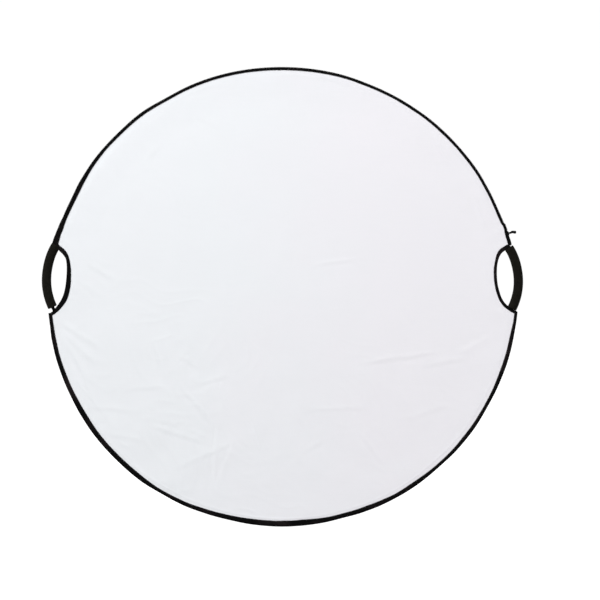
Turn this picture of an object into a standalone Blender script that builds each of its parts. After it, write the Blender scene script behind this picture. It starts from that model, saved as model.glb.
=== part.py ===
"""A round collapsible reflector, 1.1 m across, with a grip at each side.

A sprung steel hoop runs round a sheer diffuser and through two foam grips. A zipped
cover of two cloths goes over the diffuser. The disc stands in the XZ plane, its front
faces -Y and its top is +Z. The origin is the middle of the disc.
"""

import math

import bmesh
import bpy

# Sizes are in metres and angles in degrees. "Forward" is the distance in front of the disc's mid plane.

# The rim is two arcs of one radius, the upper struck below the middle and the lower above it.
RIM_RADIUS = 0.5643
ARC_SHIFT = 0.0143
UPPER_STEP = 3.0
LOWER_STEP = 5.0

# The hoop, whose arcs have centres of their own, so that it nears the cover's edge away from the handles.
HOOP_RADIUS = 0.5545
HOOP_SHIFT = 0.0105
BAND_THICK = 0.001
BAND_WIDE = 0.005
HOOP_FILLET = 0.050
FILLET_STEPS = 4
FERRULE_LENGTH = 0.024
FERRULE_WALL = 0.0004
FERRULE_GAP = 0.00025
FERRULE_SLIT = 0.001
FERRULE_STEPS = 4
BAND_END_GAP = 0.0006

# The cloth tube over the bare hoop between the two ends of the rim, through the grip.
TUBE_RADIUS = 0.0039
TUBE_WALL = 0.0004

# The handles: each bulges out of the hoop, as an arc on an axis raised from the horizontal.
HANDLE_ANGLE = 4.65
GRIP_CREST = 0.5662
GRIP_BEND = 0.150
GRIP_STEPS = 10
GRIP_LENGTH = 0.150
LEFT_GRIP_REST = 1.9
RIGHT_GRIP_REST = 0.0
SLEEVE_RADIUS = 0.01125
SLEEVE_WALL = 0.00375
LINER_RADIUS = 0.0072
LINER_WALL = 0.0010
LINER_SHORTER = 0.001
ROUND_SIDES = 16

# The hand holes: half ellipses on the handle's axis.
HOLE_CENTRE = 0.5465
HOLE_STEPS = 20
COVER_HOLE_HALF_LENGTH = 0.080
COVER_HOLE_DEPTH = 0.0302
COVER_HOLE_TAPE = {"left": 0.0105, "right": 0.0072}
COVER_HOLE_TAPE_END = 75.0
DIFFUSER_HOLE_HALF_LENGTH = 0.083
DIFFUSER_HOLE_DEPTH = 0.036
DIFFUSER_HOLE_END = 80.0
DIFFUSER_HOLE_TAPE = 0.008
DIFFUSER_HOLE_TAPE_END = 61.0
EDGE_GAP = 0.0003

# Layers, as distances from the mid plane.
CLOTH_THICK = 0.0004
COVER_FORWARD = 0.0043
COVER_RADIUS = 0.5616
DIFFUSER_RADIUS = 0.5525
TAPE_THICK = 0.0005
RIM_TAPE_IN = 0.0048
RIM_TAPE_OUT = 0.0054
RIM_TAPE_WALL = 0.5635
LOWER_LEG_END = 0.5536
UPPER_LEG_END = 0.5578
UPPER_TAB_START = 14.6
UPPER_TAB_END = 16.0
LOWER_BINDING_END = 5.6

# The diffuser's channel tape round the hoop, front half: (radius, forward), outside then inside.
CHANNEL_OUTSIDE = ((0.5562, 0.0038), (0.5525, 0.0038), (0.5495, 0.0010), (0.5420, 0.0010))
CHANNEL_INSIDE = ((0.5420, 0.0005), (0.5497, 0.0005), (0.5527, 0.0033), (0.5556, 0.0033))
CHANNEL_UPPER_END = 15.0
CHANNEL_LOWER_END = 6.0

# The zip, and the fold the front cloth turns down on, its line a little in front of the cloth.
FOLD_HEIGHT = 0.1437
FOLD_FORWARD = 0.0057
FOLD_GAP = 0.0003
ZIP_START = 16.45
ZIP_TAPE_WALL = (0.5619, 0.5625)
ZIP_TAPE_EDGE = 0.0006
COIL_RADII = (0.5628, 0.5643)
COIL_FORWARD = (0.0006, 0.0022)
STOP_START = 16.1
STOP_END = 16.38

# The slider, at rest at the zip's closed end. Radii first, then sizes across and along the zip.
SLIDER_ANGLE = 17.1
SLIDER_INNER_PLATE = (0.5604, 0.5613)
SLIDER_OUTER_PLATE = (0.56465, 0.5658)
SLIDER_BRIDGE_TOP = 0.5691
SLIDER_BRIDGE_UNDER = 0.5683
SLIDER_LENGTH = 0.011
SLIDER_HALF_WIDE = 0.0036
SLIDER_POST_HALF_WIDE = 0.0003
SLIDER_POST_LENGTH = 0.0030
SLIDER_BRIDGE_HALF_WIDE = 0.0008
SLIDER_BRIDGE_HALF_LENGTH = 0.0031
SLIDER_WINDOW_HALF_LENGTH = 0.0023
SLIDER_BEVEL = 0.0002

# The pull, measured outwards from its pin under the slider's bridge.
PULL_PIN_RADIUS = 0.5671
PULL_PIN_HALF_THICK = 0.0009
PULL_NECK = 0.0040
PULL_LENGTH = 0.0215
PULL_HALF_THICK = 0.0015
PULL_HALF_WIDE = 0.0035
PULL_DROOP = 0.0026
PULL_STEPS = 10
PULL_WINDOW_START = 0.00035
PULL_WINDOW_HALF_WIDE = 0.0012

# Points closer than this are one point, and edges sharper than this angle stay sharp when shaded.
MERGE_DISTANCE = 0.000001
SHARP_EDGE_ANGLE = 40.0


def clear_scene():
    for obj in list(bpy.data.objects):
        bpy.data.objects.remove(obj, do_unlink=True)


def new_collection(name):
    collection = bpy.data.collections.new(name)
    bpy.context.scene.collection.children.link(collection)
    return collection


def new_material(name, colour, roughness, metallic=0.0):
    material = bpy.data.materials.new(name)
    material.use_nodes = True
    material.diffuse_color = (*colour, 1.0)
    shader = material.node_tree.nodes["Principled BSDF"]
    shader.inputs["Base Color"].default_value = (*colour, 1.0)
    shader.inputs["Roughness"].default_value = roughness
    shader.inputs["Metallic"].default_value = metallic
    return material


# Points of the outline, as (x, z).


def on_arc(side, radius, angle, shift=ARC_SHIFT):
    """The point at this angle on the upper or the lower arc."""
    turn = math.radians(angle)
    middle = -shift if side == "upper" else shift
    return radius * math.cos(turn), middle + radius * math.sin(turn)


def arc_angles(side, start, end):
    """The start, each whole step between, and the end, so that neighbouring strips share their facets."""
    step = UPPER_STEP if side == "upper" else LOWER_STEP
    first = math.floor(start / step) + 1
    last = math.ceil(end / step) - 1
    return [start] + [n * step for n in range(first, last + 1)] + [end]


def arc_points(side, radius, start, end, shift=ARC_SHIFT):
    return [on_arc(side, radius, angle, shift) for angle in arc_angles(side, start, end)]


def handle_point(out, along):
    """A point by its distances out along the right handle's axis and up across it."""
    turn = math.radians(HANDLE_ANGLE)
    x = out * math.cos(turn) - along * math.sin(turn)
    z = out * math.sin(turn) + along * math.cos(turn)
    return x, z


def mirrored(points):
    """The same points on the left, in the opposite order, so that a closed outline keeps its direction."""
    return [(-x, z) for x, z in reversed(points)]


def arc_angle_at(side, radius, along, shift):
    """The right end of an arc: the angle at which it is this far across the handle's axis."""
    across = shift * math.cos(math.radians(HANDLE_ANGLE))
    turn = math.degrees(math.asin((along + across) / radius))
    return HANDLE_ANGLE + turn if side == "upper" else HANDLE_ANGLE - turn


def hole_points(half_length, depth, end):
    """The right hand hole's edge against the cloth, from the bottom to the top."""
    points = []
    for step in range(HOLE_STEPS + 1):
        turn = math.radians(end * (2 * step / HOLE_STEPS - 1))
        out = HOLE_CENTRE - depth * math.cos(turn)
        points.append(handle_point(out, half_length * math.sin(turn)))
    return points


def grip_point(radius, angle):
    """A point on an arc about the right grip's bend, its angle measured up from the handle's axis."""
    turn = math.radians(angle)
    centre = GRIP_CREST - GRIP_BEND
    return handle_point(centre + radius * math.cos(turn), radius * math.sin(turn))


def meeting_point(first, first_radius, second, second_radius):
    """Where two circles meet, on the left of the line from the first centre to the second."""
    dx = second[0] - first[0]
    dz = second[1] - first[1]
    apart = math.hypot(dx, dz)
    along = (first_radius**2 - second_radius**2 + apart**2) / (2 * apart)
    aside = math.sqrt(first_radius**2 - along**2)
    x = first[0] + (along * dx - aside * dz) / apart
    z = first[1] + (along * dz + aside * dx) / apart
    return x, z


def bearing(centre, point):
    return math.degrees(math.atan2(point[1] - centre[1], point[0] - centre[0]))


def fillet_between(side):
    """The right handle's fillet on this side, from the grip's arc to the rim's, with the angles where it meets them."""
    sign = 1 if side == "upper" else -1
    rim_centre = (0.0, -sign * HOOP_SHIFT)
    grip_centre = grip_point(0.0, 0.0)
    rim_reach = HOOP_RADIUS + HOOP_FILLET
    grip_reach = GRIP_BEND + HOOP_FILLET
    if side == "upper":
        centre = meeting_point(rim_centre, rim_reach, grip_centre, grip_reach)
    else:
        centre = meeting_point(grip_centre, grip_reach, rim_centre, rim_reach)
    start = math.radians(bearing(centre, grip_centre))
    sweep = math.radians(bearing(centre, rim_centre)) - start
    sweep = (sweep + math.pi) % (2 * math.pi) - math.pi
    points = []
    for step in range(FILLET_STEPS + 1):
        turn = start + sweep * step / FILLET_STEPS
        points.append((centre[0] + HOOP_FILLET * math.cos(turn), centre[1] + HOOP_FILLET * math.sin(turn)))
    return points, bearing(grip_centre, centre) - HANDLE_ANGLE, bearing(rim_centre, centre)


def grip_arc_points(start, end, steps):
    return [grip_point(GRIP_BEND, start + (end - start) * n / steps) for n in range(steps + 1)]


def hoop_points():
    """The hoop's whole path, from the band's end inside the right grip, up and round to its other end."""
    upper, upper_grip_angle, upper_rim_angle = fillet_between("upper")
    lower, lower_grip_angle, lower_rim_angle = fillet_between("lower")
    end_angle = math.degrees(BAND_END_GAP / 2 / GRIP_BEND)
    right_up = grip_arc_points(end_angle, upper_grip_angle, GRIP_STEPS // 2) + upper[1:]
    right_down = lower[::-1] + grip_arc_points(lower_grip_angle, -end_angle, GRIP_STEPS // 2)[1:]
    left_grip = grip_arc_points(lower_grip_angle, upper_grip_angle, GRIP_STEPS)
    left = mirrored(lower[:0:-1] + left_grip + upper[1:])
    over = arc_points("upper", HOOP_RADIUS, upper_rim_angle, 180 - upper_rim_angle, HOOP_SHIFT)
    under = arc_points("lower", HOOP_RADIUS, 180 - lower_rim_angle, 360 + lower_rim_angle, HOOP_SHIFT)
    return right_up + over[1:-1] + left + under[1:-1] + right_down


# Solids.


def curve_of(name, points, closed):
    curve = bpy.data.curves.new(name, "CURVE")
    curve.dimensions = "2D"
    spline = curve.splines.new("POLY")
    spline.points.add(len(points) - 1)
    for knot, (a, b) in zip(spline.points, points):
        knot.co = (a, b, 0.0, 1.0)
    spline.use_cyclic_u = closed
    return curve


def stand_up(name, data, collection):
    """A drawn curve becomes an object whose x stays, whose y is up and whose z is forward."""
    obj = bpy.data.objects.new(name, data)
    obj.rotation_euler = (math.pi / 2, 0.0, 0.0)
    collection.objects.link(obj)
    return obj


def sheet(name, outline, forward, thick, material, collection):
    curve = curve_of(name, outline, True)
    curve.fill_mode = "BOTH"
    curve.extrude = thick / 2
    curve.materials.append(material)
    obj = stand_up(name, curve, collection)
    obj.location.y = -forward
    return obj


def signed_area(profile):
    return sum(a[0] * b[1] - b[0] * a[1] for a, b in zip(profile, profile[1:] + profile[:1])) / 2


def strip(name, path, profile, material, parts, guides):
    """A closed profile of (right of the path, forward) points, swept along the path with flat ends."""
    turned = profile if signed_area(profile) < 0 else profile[::-1]
    section = bpy.data.objects.new(name + "_profile", curve_of(name + "_profile", turned, True))
    section.hide_render = True
    section.display_type = "WIRE"
    guides.objects.link(section)
    curve = curve_of(name, path, False)
    curve.bevel_mode = "OBJECT"
    curve.bevel_object = section
    curve.use_fill_caps = True
    curve.materials.append(material)
    return stand_up(name, curve, parts)


def box_profile(inner, outer, back, front):
    return [(inner, back), (outer, back), (outer, front), (inner, front)]


def channel_profile(wall_start, wall_end, leg_end, half_in, half_out):
    """A channel open on the leg_end side: a wall across, and a leg on each side."""
    return [
        (leg_end, half_out),
        (wall_end, half_out),
        (wall_end, -half_out),
        (leg_end, -half_out),
        (leg_end, -half_in),
        (wall_start, -half_in),
        (wall_start, half_in),
        (leg_end, half_in),
    ]


def shifted(profile, across, forward):
    return [(a + across, b + forward) for a, b in profile]


def rim_strip(name, side, start, end, profile, material, parts, guides, shift=ARC_SHIFT):
    """A strip on a rim arc whose profile is in (radius, forward)."""
    path = arc_points(side, HOOP_RADIUS, start, end, shift)
    return strip(name, path, shifted(profile, -HOOP_RADIUS, 0.0), material, parts, guides)


def make_hoop(steel, crimp, parts, guides):
    band = box_profile(-BAND_THICK / 2, BAND_THICK / 2, -BAND_WIDE / 2, BAND_WIDE / 2)
    strip("hoop_band", hoop_points(), band, steel, parts, guides)
    half = math.degrees(FERRULE_LENGTH / 2 / GRIP_BEND)
    inner_high = BAND_THICK / 2 + FERRULE_GAP
    inner_wide = BAND_WIDE / 2 + FERRULE_GAP
    outer_high = inner_high + FERRULE_WALL
    outer_wide = inner_wide + FERRULE_WALL
    slit = FERRULE_SLIT / 2
    profile = [
        (outer_high, slit),
        (outer_high, outer_wide),
        (-outer_high, outer_wide),
        (-outer_high, -outer_wide),
        (outer_high, -outer_wide),
        (outer_high, -slit),
        (inner_high, -slit),
        (inner_high, -inner_wide),
        (-inner_high, -inner_wide),
        (-inner_high, inner_wide),
        (inner_high, inner_wide),
        (inner_high, slit),
    ]
    path = grip_arc_points(-half, half, FERRULE_STEPS)
    strip("hoop_ferrule", path, profile, crimp, parts, guides)


def tube(name, path, radius, wall, material, parts, guides):
    """An open round tube along the path, its wall added inwards."""
    ring = []
    for step in range(ROUND_SIDES):
        turn = -2 * math.pi * step / ROUND_SIDES
        ring.append((radius * math.cos(turn), radius * math.sin(turn)))
    obj = strip(name, path, ring, material, parts, guides)
    obj.data.use_fill_caps = False
    obj.data.splines[0].use_smooth = True
    solidify = obj.modifiers.new("wall", "SOLIDIFY")
    solidify.thickness = wall
    solidify.offset = -1.0
    solidify.use_even_offset = True
    return obj


def make_hoop_tubes(cloth, parts, guides):
    upper, upper_angle, _ = fillet_between("upper")
    lower, lower_angle, _ = fillet_between("lower")
    path = lower[:0:-1] + grip_arc_points(lower_angle, upper_angle, GRIP_STEPS) + upper[1:]
    tube("hoop_tube_right", path, TUBE_RADIUS, TUBE_WALL, cloth, parts, guides)
    tube("hoop_tube_left", mirrored(path), TUBE_RADIUS, TUBE_WALL, cloth, parts, guides)


def disc_outline(radius, edge, shift):
    """The whole cloth's outline: the upper arc, the left hole, the lower arc and the right hole."""
    along = across_axis(edge[-1])
    top = arc_angle_at("upper", radius, along, shift)
    low = arc_angle_at("lower", radius, along, shift)
    over = arc_points("upper", radius, top, 180 - top, shift)
    under = arc_points("lower", radius, 180 - low, 360 + low, shift)
    return over + mirrored(edge) + under + edge


def across_axis(point):
    """How far a point is across the right handle's axis."""
    turn = math.radians(HANDLE_ANGLE)
    return point[1] * math.cos(turn) - point[0] * math.sin(turn)


def make_diffuser(sheer, tape, parts, guides):
    edge = hole_points(DIFFUSER_HOLE_HALF_LENGTH, DIFFUSER_HOLE_DEPTH, DIFFUSER_HOLE_END)
    outline = disc_outline(DIFFUSER_RADIUS, edge, HOOP_SHIFT)
    sheet("diffuser_panel", outline, 0.0, CLOTH_THICK, sheer, parts)
    front_out = list(CHANNEL_OUTSIDE)
    front_in = list(CHANNEL_INSIDE)
    back_out = [(radius, -forward) for radius, forward in reversed(front_out)]
    back_in = [(radius, -forward) for radius, forward in reversed(front_in)]
    profile = front_out + front_in + back_in + back_out
    upper = (CHANNEL_UPPER_END, 180 - CHANNEL_UPPER_END)
    lower = (180 + CHANNEL_LOWER_END, 360 - CHANNEL_LOWER_END)
    rim_strip("diffuser_rim_tape_upper", "upper", *upper, profile, tape, parts, guides, HOOP_SHIFT)
    rim_strip("diffuser_rim_tape_lower", "lower", *lower, profile, tape, parts, guides, HOOP_SHIFT)
    path = hole_points(DIFFUSER_HOLE_HALF_LENGTH, DIFFUSER_HOLE_DEPTH, DIFFUSER_HOLE_TAPE_END)
    half_in = CLOTH_THICK / 2 + EDGE_GAP
    half_out = half_in + TAPE_THICK
    profile = channel_profile(-EDGE_GAP, -EDGE_GAP - TAPE_THICK, DIFFUSER_HOLE_TAPE, half_in, half_out)
    strip("diffuser_cutout_tape_right", path[::-1], profile, tape, parts, guides)
    strip("diffuser_cutout_tape_left", mirrored(path)[::-1], profile, tape, parts, guides)


def split_outline(outline):
    """Cuts the front cloth's outline at the fold: (below it, above it), each with its cut along the fold."""
    low_line = FOLD_HEIGHT - FOLD_GAP / 2
    high_line = FOLD_HEIGHT + FOLD_GAP / 2
    above = [point for point in outline if point[1] > high_line]
    below = [point for point in outline if point[1] < low_line]
    left_half = [n for n, point in enumerate(below) if point[0] < 0]
    below = below[left_half[0] :] + below[: left_half[0]]
    flap_x = math.sqrt(COVER_RADIUS**2 - (high_line + ARC_SHIFT) ** 2)
    field_x = math.sqrt(COVER_RADIUS**2 - (low_line + ARC_SHIFT) ** 2)
    flap = [(flap_x, high_line)] + above + [(-flap_x, high_line)]
    field = [(-field_x, low_line)] + below + [(field_x, low_line)]
    return field, flap


def make_cover(white, flap_white, black, tape, parts, guides):
    edge = hole_points(COVER_HOLE_HALF_LENGTH, COVER_HOLE_DEPTH, 90.0)
    outline = disc_outline(COVER_RADIUS, edge, ARC_SHIFT)
    field, flap = split_outline(outline)
    sheet("cover_front_field", field, COVER_FORWARD, CLOTH_THICK, white, parts)
    flap_sheet = sheet("cover_front_flap", flap, COVER_FORWARD, CLOTH_THICK, flap_white, parts)
    sheet("cover_back_panel", outline, -COVER_FORWARD, CLOTH_THICK, black, parts)
    binding = channel_profile(RIM_TAPE_WALL, RIM_RADIUS, LOWER_LEG_END, RIM_TAPE_IN, RIM_TAPE_OUT)
    lower = (180 + LOWER_BINDING_END, 360 - LOWER_BINDING_END)
    rim_strip("cover_rim_binding_lower", "lower", *lower, binding, tape, parts, guides)
    half_in = CLOTH_THICK / 2 + EDGE_GAP
    half_out = half_in + TAPE_THICK
    for side in ("left", "right"):
        path = hole_points(COVER_HOLE_HALF_LENGTH, COVER_HOLE_DEPTH, COVER_HOLE_TAPE_END)
        path = path[::-1] if side == "right" else mirrored(path)[::-1]
        leg_end = COVER_HOLE_TAPE[side]
        profile = channel_profile(-EDGE_GAP, -EDGE_GAP - TAPE_THICK, leg_end, half_in, half_out)
        front = shifted(profile, 0.0, COVER_FORWARD)
        back = shifted(profile, 0.0, -COVER_FORWARD)
        strip("cover_front_cutout_tape_" + side, path, front, tape, parts, guides)
        strip("cover_back_cutout_tape_" + side, path, back, tape, parts, guides)
    return flap_sheet


def make_zip(zip_cloth, coil, tape, steel, parts, guides):
    inner, outer = ZIP_TAPE_WALL
    front = [
        (outer, ZIP_TAPE_EDGE),
        (outer, RIM_TAPE_OUT),
        (UPPER_LEG_END, RIM_TAPE_OUT),
        (UPPER_LEG_END, RIM_TAPE_IN),
        (inner, RIM_TAPE_IN),
        (inner, ZIP_TAPE_EDGE),
    ]
    back = [(radius, -forward) for radius, forward in front]
    span = (ZIP_START, 180 - ZIP_START)
    front_tape = rim_strip("zip_tape_front", "upper", *span, front, zip_cloth, parts, guides)
    rim_strip("zip_tape_back", "upper", *span, back, zip_cloth, parts, guides)
    near, far = COIL_FORWARD
    front_teeth = box_profile(*COIL_RADII, near, far)
    back_teeth = box_profile(*COIL_RADII, -far, -near)
    front_coil = rim_strip("zip_coil_front", "upper", *span, front_teeth, coil, parts, guides)
    rim_strip("zip_coil_back", "upper", *span, back_teeth, coil, parts, guides)
    tab = channel_profile(RIM_TAPE_WALL, RIM_RADIUS, UPPER_LEG_END, RIM_TAPE_IN, RIM_TAPE_OUT)
    right = (UPPER_TAB_START, UPPER_TAB_END)
    left = (180 - UPPER_TAB_END, 180 - UPPER_TAB_START)
    rim_strip("zip_end_tab_right", "upper", *right, tab, tape, parts, guides)
    rim_strip("zip_end_tab_left", "upper", *left, tab, tape, parts, guides)
    stop = box_profile(*COIL_RADII, -far, far)
    right = (STOP_START, STOP_END)
    left = (180 - STOP_END, 180 - STOP_START)
    rim_strip("zip_end_stop", "upper", *right, stop, steel, parts, guides)
    rim_strip("zip_start_stop", "upper", *left, stop, steel, parts, guides)
    return [front_tape, front_coil]


def mesh_box(name, low, high, collection):
    mesh = bpy.data.meshes.new(name)
    work = bmesh.new()
    bmesh.ops.create_cube(work, size=1.0)
    for vertex in work.verts:
        for axis in range(3):
            middle = (low[axis] + high[axis]) / 2
            vertex.co[axis] = middle + vertex.co[axis] * (high[axis] - low[axis])
    work.to_mesh(mesh)
    work.free()
    obj = bpy.data.objects.new(name, mesh)
    collection.objects.link(obj)
    return obj


def combine(obj, other, operation):
    modifier = obj.modifiers.new(other.name, "BOOLEAN")
    modifier.solver = "EXACT"
    modifier.operation = operation
    modifier.object = other
    other.hide_render = True
    other.display_type = "WIRE"


def place_on_rim(obj, radius, angle):
    """Puts an object's origin on the upper arc, its x outwards, its z along the rim and its y to the back."""
    x, z = on_arc("upper", radius, angle)
    obj.location = (x, 0.0, z)
    obj.rotation_euler = (0.0, -math.radians(angle), 0.0)


def make_slider(steel, parts, guides):
    """Two plates joined by a post at the leading end, with a bridge on the outer one. Built about the rim's line."""
    half = SLIDER_LENGTH / 2
    wide = SLIDER_HALF_WIDE
    inner = [radius - RIM_RADIUS for radius in SLIDER_INNER_PLATE]
    outer = [radius - RIM_RADIUS for radius in SLIDER_OUTER_PLATE]
    top = SLIDER_BRIDGE_TOP - RIM_RADIUS
    under = SLIDER_BRIDGE_UNDER - RIM_RADIUS
    sunk = (outer[0] + outer[1]) / 2
    slider = mesh_box("zip_slider", (outer[0], -wide, -half), (outer[1], wide, half), parts)
    plate = mesh_box("slider_inner_plate", (inner[0], -wide, -half), (inner[1], wide, half), guides)
    post_wide = SLIDER_POST_HALF_WIDE
    post_low = (sum(inner) / 2, -post_wide, half - SLIDER_POST_LENGTH)
    post_high = (sunk, post_wide, half - SLIDER_BEVEL)
    post = mesh_box("slider_post", post_low, post_high, guides)
    bridge_wide = SLIDER_BRIDGE_HALF_WIDE
    long = SLIDER_BRIDGE_HALF_LENGTH
    bridge = mesh_box("slider_bridge", (sunk, -bridge_wide, -long), (top, bridge_wide, long), guides)
    window = SLIDER_WINDOW_HALF_LENGTH
    low = (outer[1], -2 * bridge_wide, -window)
    cut = mesh_box("slider_window", low, (under, 2 * bridge_wide, window), guides)
    combine(bridge, cut, "DIFFERENCE")
    for piece in (plate, post, bridge):
        combine(slider, piece, "UNION")
    slider.data.materials.append(steel)
    for piece in (slider, plate, post, bridge, cut):
        place_on_rim(piece, RIM_RADIUS, SLIDER_ANGLE)
    return slider


def pull_outline():
    """The pull from the side: a pin end, a neck and a tab that droops towards its tip."""
    upper = []
    lower = []
    for step in range(PULL_STEPS + 1):
        part = step / PULL_STEPS
        out = PULL_LENGTH * part
        thick = PULL_PIN_HALF_THICK if out < PULL_NECK - PULL_HALF_THICK else PULL_HALF_THICK
        drop = PULL_DROOP * part**2
        upper.append((out, thick - drop))
        lower.append((out, -thick - drop))
    pin = []
    for step in range(1, PULL_STEPS):
        turn = math.pi / 2 + math.pi * step / PULL_STEPS
        pin.append((PULL_PIN_HALF_THICK * math.cos(turn), PULL_PIN_HALF_THICK * math.sin(turn)))
    return upper[::-1] + pin + lower


def make_pull(rubber, parts, guides):
    """The tab's side outline given its width, with a window cut behind the pin for the slider's bridge."""
    curve = curve_of("pull_side", pull_outline(), True)
    curve.fill_mode = "BOTH"
    curve.extrude = PULL_HALF_WIDE
    drawn = stand_up("pull_side", curve, guides)
    graph = bpy.context.evaluated_depsgraph_get()
    mesh = bpy.data.meshes.new_from_object(drawn.evaluated_get(graph))
    work = bmesh.new()
    work.from_mesh(mesh)
    bmesh.ops.remove_doubles(work, verts=work.verts, dist=MERGE_DISTANCE)
    bmesh.ops.rotate(work, verts=work.verts, cent=(0, 0, 0), matrix=drawn.rotation_euler.to_matrix())
    bmesh.ops.recalc_face_normals(work, faces=work.faces)
    work.to_mesh(mesh)
    work.free()
    bpy.data.objects.remove(drawn)
    mesh.shade_smooth()
    mesh.set_sharp_from_angle(angle=math.radians(SHARP_EDGE_ANGLE))
    pull = bpy.data.objects.new("zip_pull", mesh)
    parts.objects.link(pull)
    mesh.materials.append(rubber)
    low = (PULL_WINDOW_START, -PULL_WINDOW_HALF_WIDE, -PULL_NECK)
    high = (PULL_NECK, PULL_WINDOW_HALF_WIDE, PULL_NECK)
    window = mesh_box("pull_window", low, high, guides)
    combine(pull, window, "DIFFERENCE")
    for piece in (pull, window):
        place_on_rim(piece, PULL_PIN_RADIUS, SLIDER_ANGLE)
    return pull


def make_grip(side, rest, foam, lining, parts, guides):
    """A foam sleeve on a plastic liner, both bent with the grip and turned by their rest angle about the bend."""
    sizes = {
        "grip_sleeve_": (GRIP_LENGTH, SLEEVE_RADIUS, SLEEVE_WALL, foam),
        "grip_liner_": (GRIP_LENGTH - 2 * LINER_SHORTER, LINER_RADIUS, LINER_WALL, lining),
    }
    pieces = []
    for name, (length, radius, wall, material) in sizes.items():
        half = math.degrees(length / 2 / GRIP_BEND)
        path = grip_arc_points(rest - half, rest + half, GRIP_STEPS)
        path = path if side == "right" else mirrored(path)
        pieces.append(tube(name + side, path, radius, wall, material, parts, guides))
    x, z = grip_point(0.0, 0.0)
    hang_on_axis("grip_bend_" + side, (x if side == "right" else -x, 0.0, z), pieces, parts)


def hang_on_axis(name, place, pieces, collection):
    """Parents moving pieces, where they stand, to an empty on their joint's axis."""
    empty = bpy.data.objects.new(name, None)
    empty.location = place
    collection.objects.link(empty)
    bpy.context.view_layer.update()
    for piece in pieces:
        piece.parent = empty
        piece.matrix_parent_inverse = empty.matrix_world.inverted()


def main():
    clear_scene()
    parts = new_collection("collapsible_reflector_disc")
    guides = new_collection("guides_and_cutters")
    steel = new_material("spring_steel", (0.42, 0.43, 0.45), 0.35, 1.0)
    zinc = new_material("zip_metal", (0.10, 0.10, 0.11), 0.40, 1.0)
    sheer = new_material("diffuser_cloth", (0.86, 0.86, 0.86), 0.60)
    white = new_material("white_cloth", (0.84, 0.84, 0.87), 0.55)
    flap_white = new_material("white_flap_cloth", (0.84, 0.84, 0.87), 0.55)
    black = new_material("black_cloth", (0.02, 0.02, 0.022), 0.60)
    tape = new_material("black_binding", (0.012, 0.012, 0.013), 0.75)
    tube_cloth = new_material("black_tube_cloth", (0.010, 0.010, 0.011), 0.80)
    zip_cloth = new_material("zip_cloth", (0.014, 0.014, 0.015), 0.70)
    nylon = new_material("zip_nylon", (0.018, 0.018, 0.02), 0.40)
    rubber = new_material("pull_rubber", (0.015, 0.015, 0.016), 0.55)
    foam = new_material("grip_foam", (0.012, 0.011, 0.009), 0.95)
    lining = new_material("grip_lining", (0.02, 0.02, 0.02), 0.60)
    make_hoop(steel, zinc, parts, guides)
    make_diffuser(sheer, tape, parts, guides)
    make_hoop_tubes(tube_cloth, parts, guides)
    flap_sheet = make_cover(white, flap_white, black, tape, parts, guides)
    flap_zip = make_zip(zip_cloth, nylon, tape, zinc, parts, guides)
    fold = (0.0, -FOLD_FORWARD, FOLD_HEIGHT)
    hang_on_axis("front_flap_fold", fold, [flap_sheet] + flap_zip, parts)
    slider = make_slider(zinc, parts, guides)
    hang_on_axis("zip_run_centre", (0.0, 0.0, -ARC_SHIFT), [slider], parts)
    make_pull(rubber, parts, guides)
    make_grip("left", LEFT_GRIP_REST, foam, lining, parts, guides)
    make_grip("right", RIGHT_GRIP_REST, foam, lining, parts, guides)


main()
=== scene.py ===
import math

import bmesh
import bpy
import numpy as np
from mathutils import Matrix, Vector, noise


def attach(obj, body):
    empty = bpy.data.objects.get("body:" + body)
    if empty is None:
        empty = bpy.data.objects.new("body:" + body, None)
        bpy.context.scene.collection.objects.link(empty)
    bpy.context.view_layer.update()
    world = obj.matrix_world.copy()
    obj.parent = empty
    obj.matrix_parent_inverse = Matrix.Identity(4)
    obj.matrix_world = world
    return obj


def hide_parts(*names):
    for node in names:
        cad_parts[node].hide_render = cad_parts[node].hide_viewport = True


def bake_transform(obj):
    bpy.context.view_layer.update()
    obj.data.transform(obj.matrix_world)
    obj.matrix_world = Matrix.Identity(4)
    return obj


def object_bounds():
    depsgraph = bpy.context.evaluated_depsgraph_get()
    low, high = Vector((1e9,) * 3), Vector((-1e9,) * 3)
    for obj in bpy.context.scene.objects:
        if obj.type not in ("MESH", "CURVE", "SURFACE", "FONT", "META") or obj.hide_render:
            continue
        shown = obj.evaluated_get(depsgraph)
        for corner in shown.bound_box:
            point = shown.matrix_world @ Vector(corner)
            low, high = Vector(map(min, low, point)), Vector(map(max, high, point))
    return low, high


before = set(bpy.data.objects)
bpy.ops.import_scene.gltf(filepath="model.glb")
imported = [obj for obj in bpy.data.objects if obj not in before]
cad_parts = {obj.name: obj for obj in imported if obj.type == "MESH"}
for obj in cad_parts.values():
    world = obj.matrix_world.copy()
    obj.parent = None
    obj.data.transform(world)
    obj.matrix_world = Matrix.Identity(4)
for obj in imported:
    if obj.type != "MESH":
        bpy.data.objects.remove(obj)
cad_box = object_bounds()

# The object stands in the XZ plane, its front towards -Y. Lengths are in metres unless a name or comment says
# millimetres, and angles are in degrees.
MM = 0.001
RIM = 0.5643  # outside radius of both rim arcs
SHIFT = 0.0143  # the upper arc's centre is this far down, the lower one's this far up
RIM_DEPTH = 0.0108  # the rim's thickness, and how far its back binding reaches in
RIM_HALF = RIM_DEPTH / 2
HOOP = 0.5545  # the hoop's radius, its arcs' centres HOOP_SHIFT from the middle
HOOP_SHIFT = 0.0105
HOOP_TOP = 19.0  # above this angle and below HOOP_FOOT the hoop follows its arcs
HOOP_FOOT = 11.0
CLOTH = 0.5616  # the cover cloths' outside radius
CLOTH_THICK = 0.00035
CORE = 0.5525  # the diffuser's outside radius
CORE_INSET = 0.0045  # how far its hand holes' edges stand back from the cover's
FOLD_Z = 0.1437  # where the flap's fold line is
ZIP_START = 16.45  # the zip runs from this angle on the right to the same on the left
PULL_AXIS = 0.5671  # how far out the pull's axis is
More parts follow.
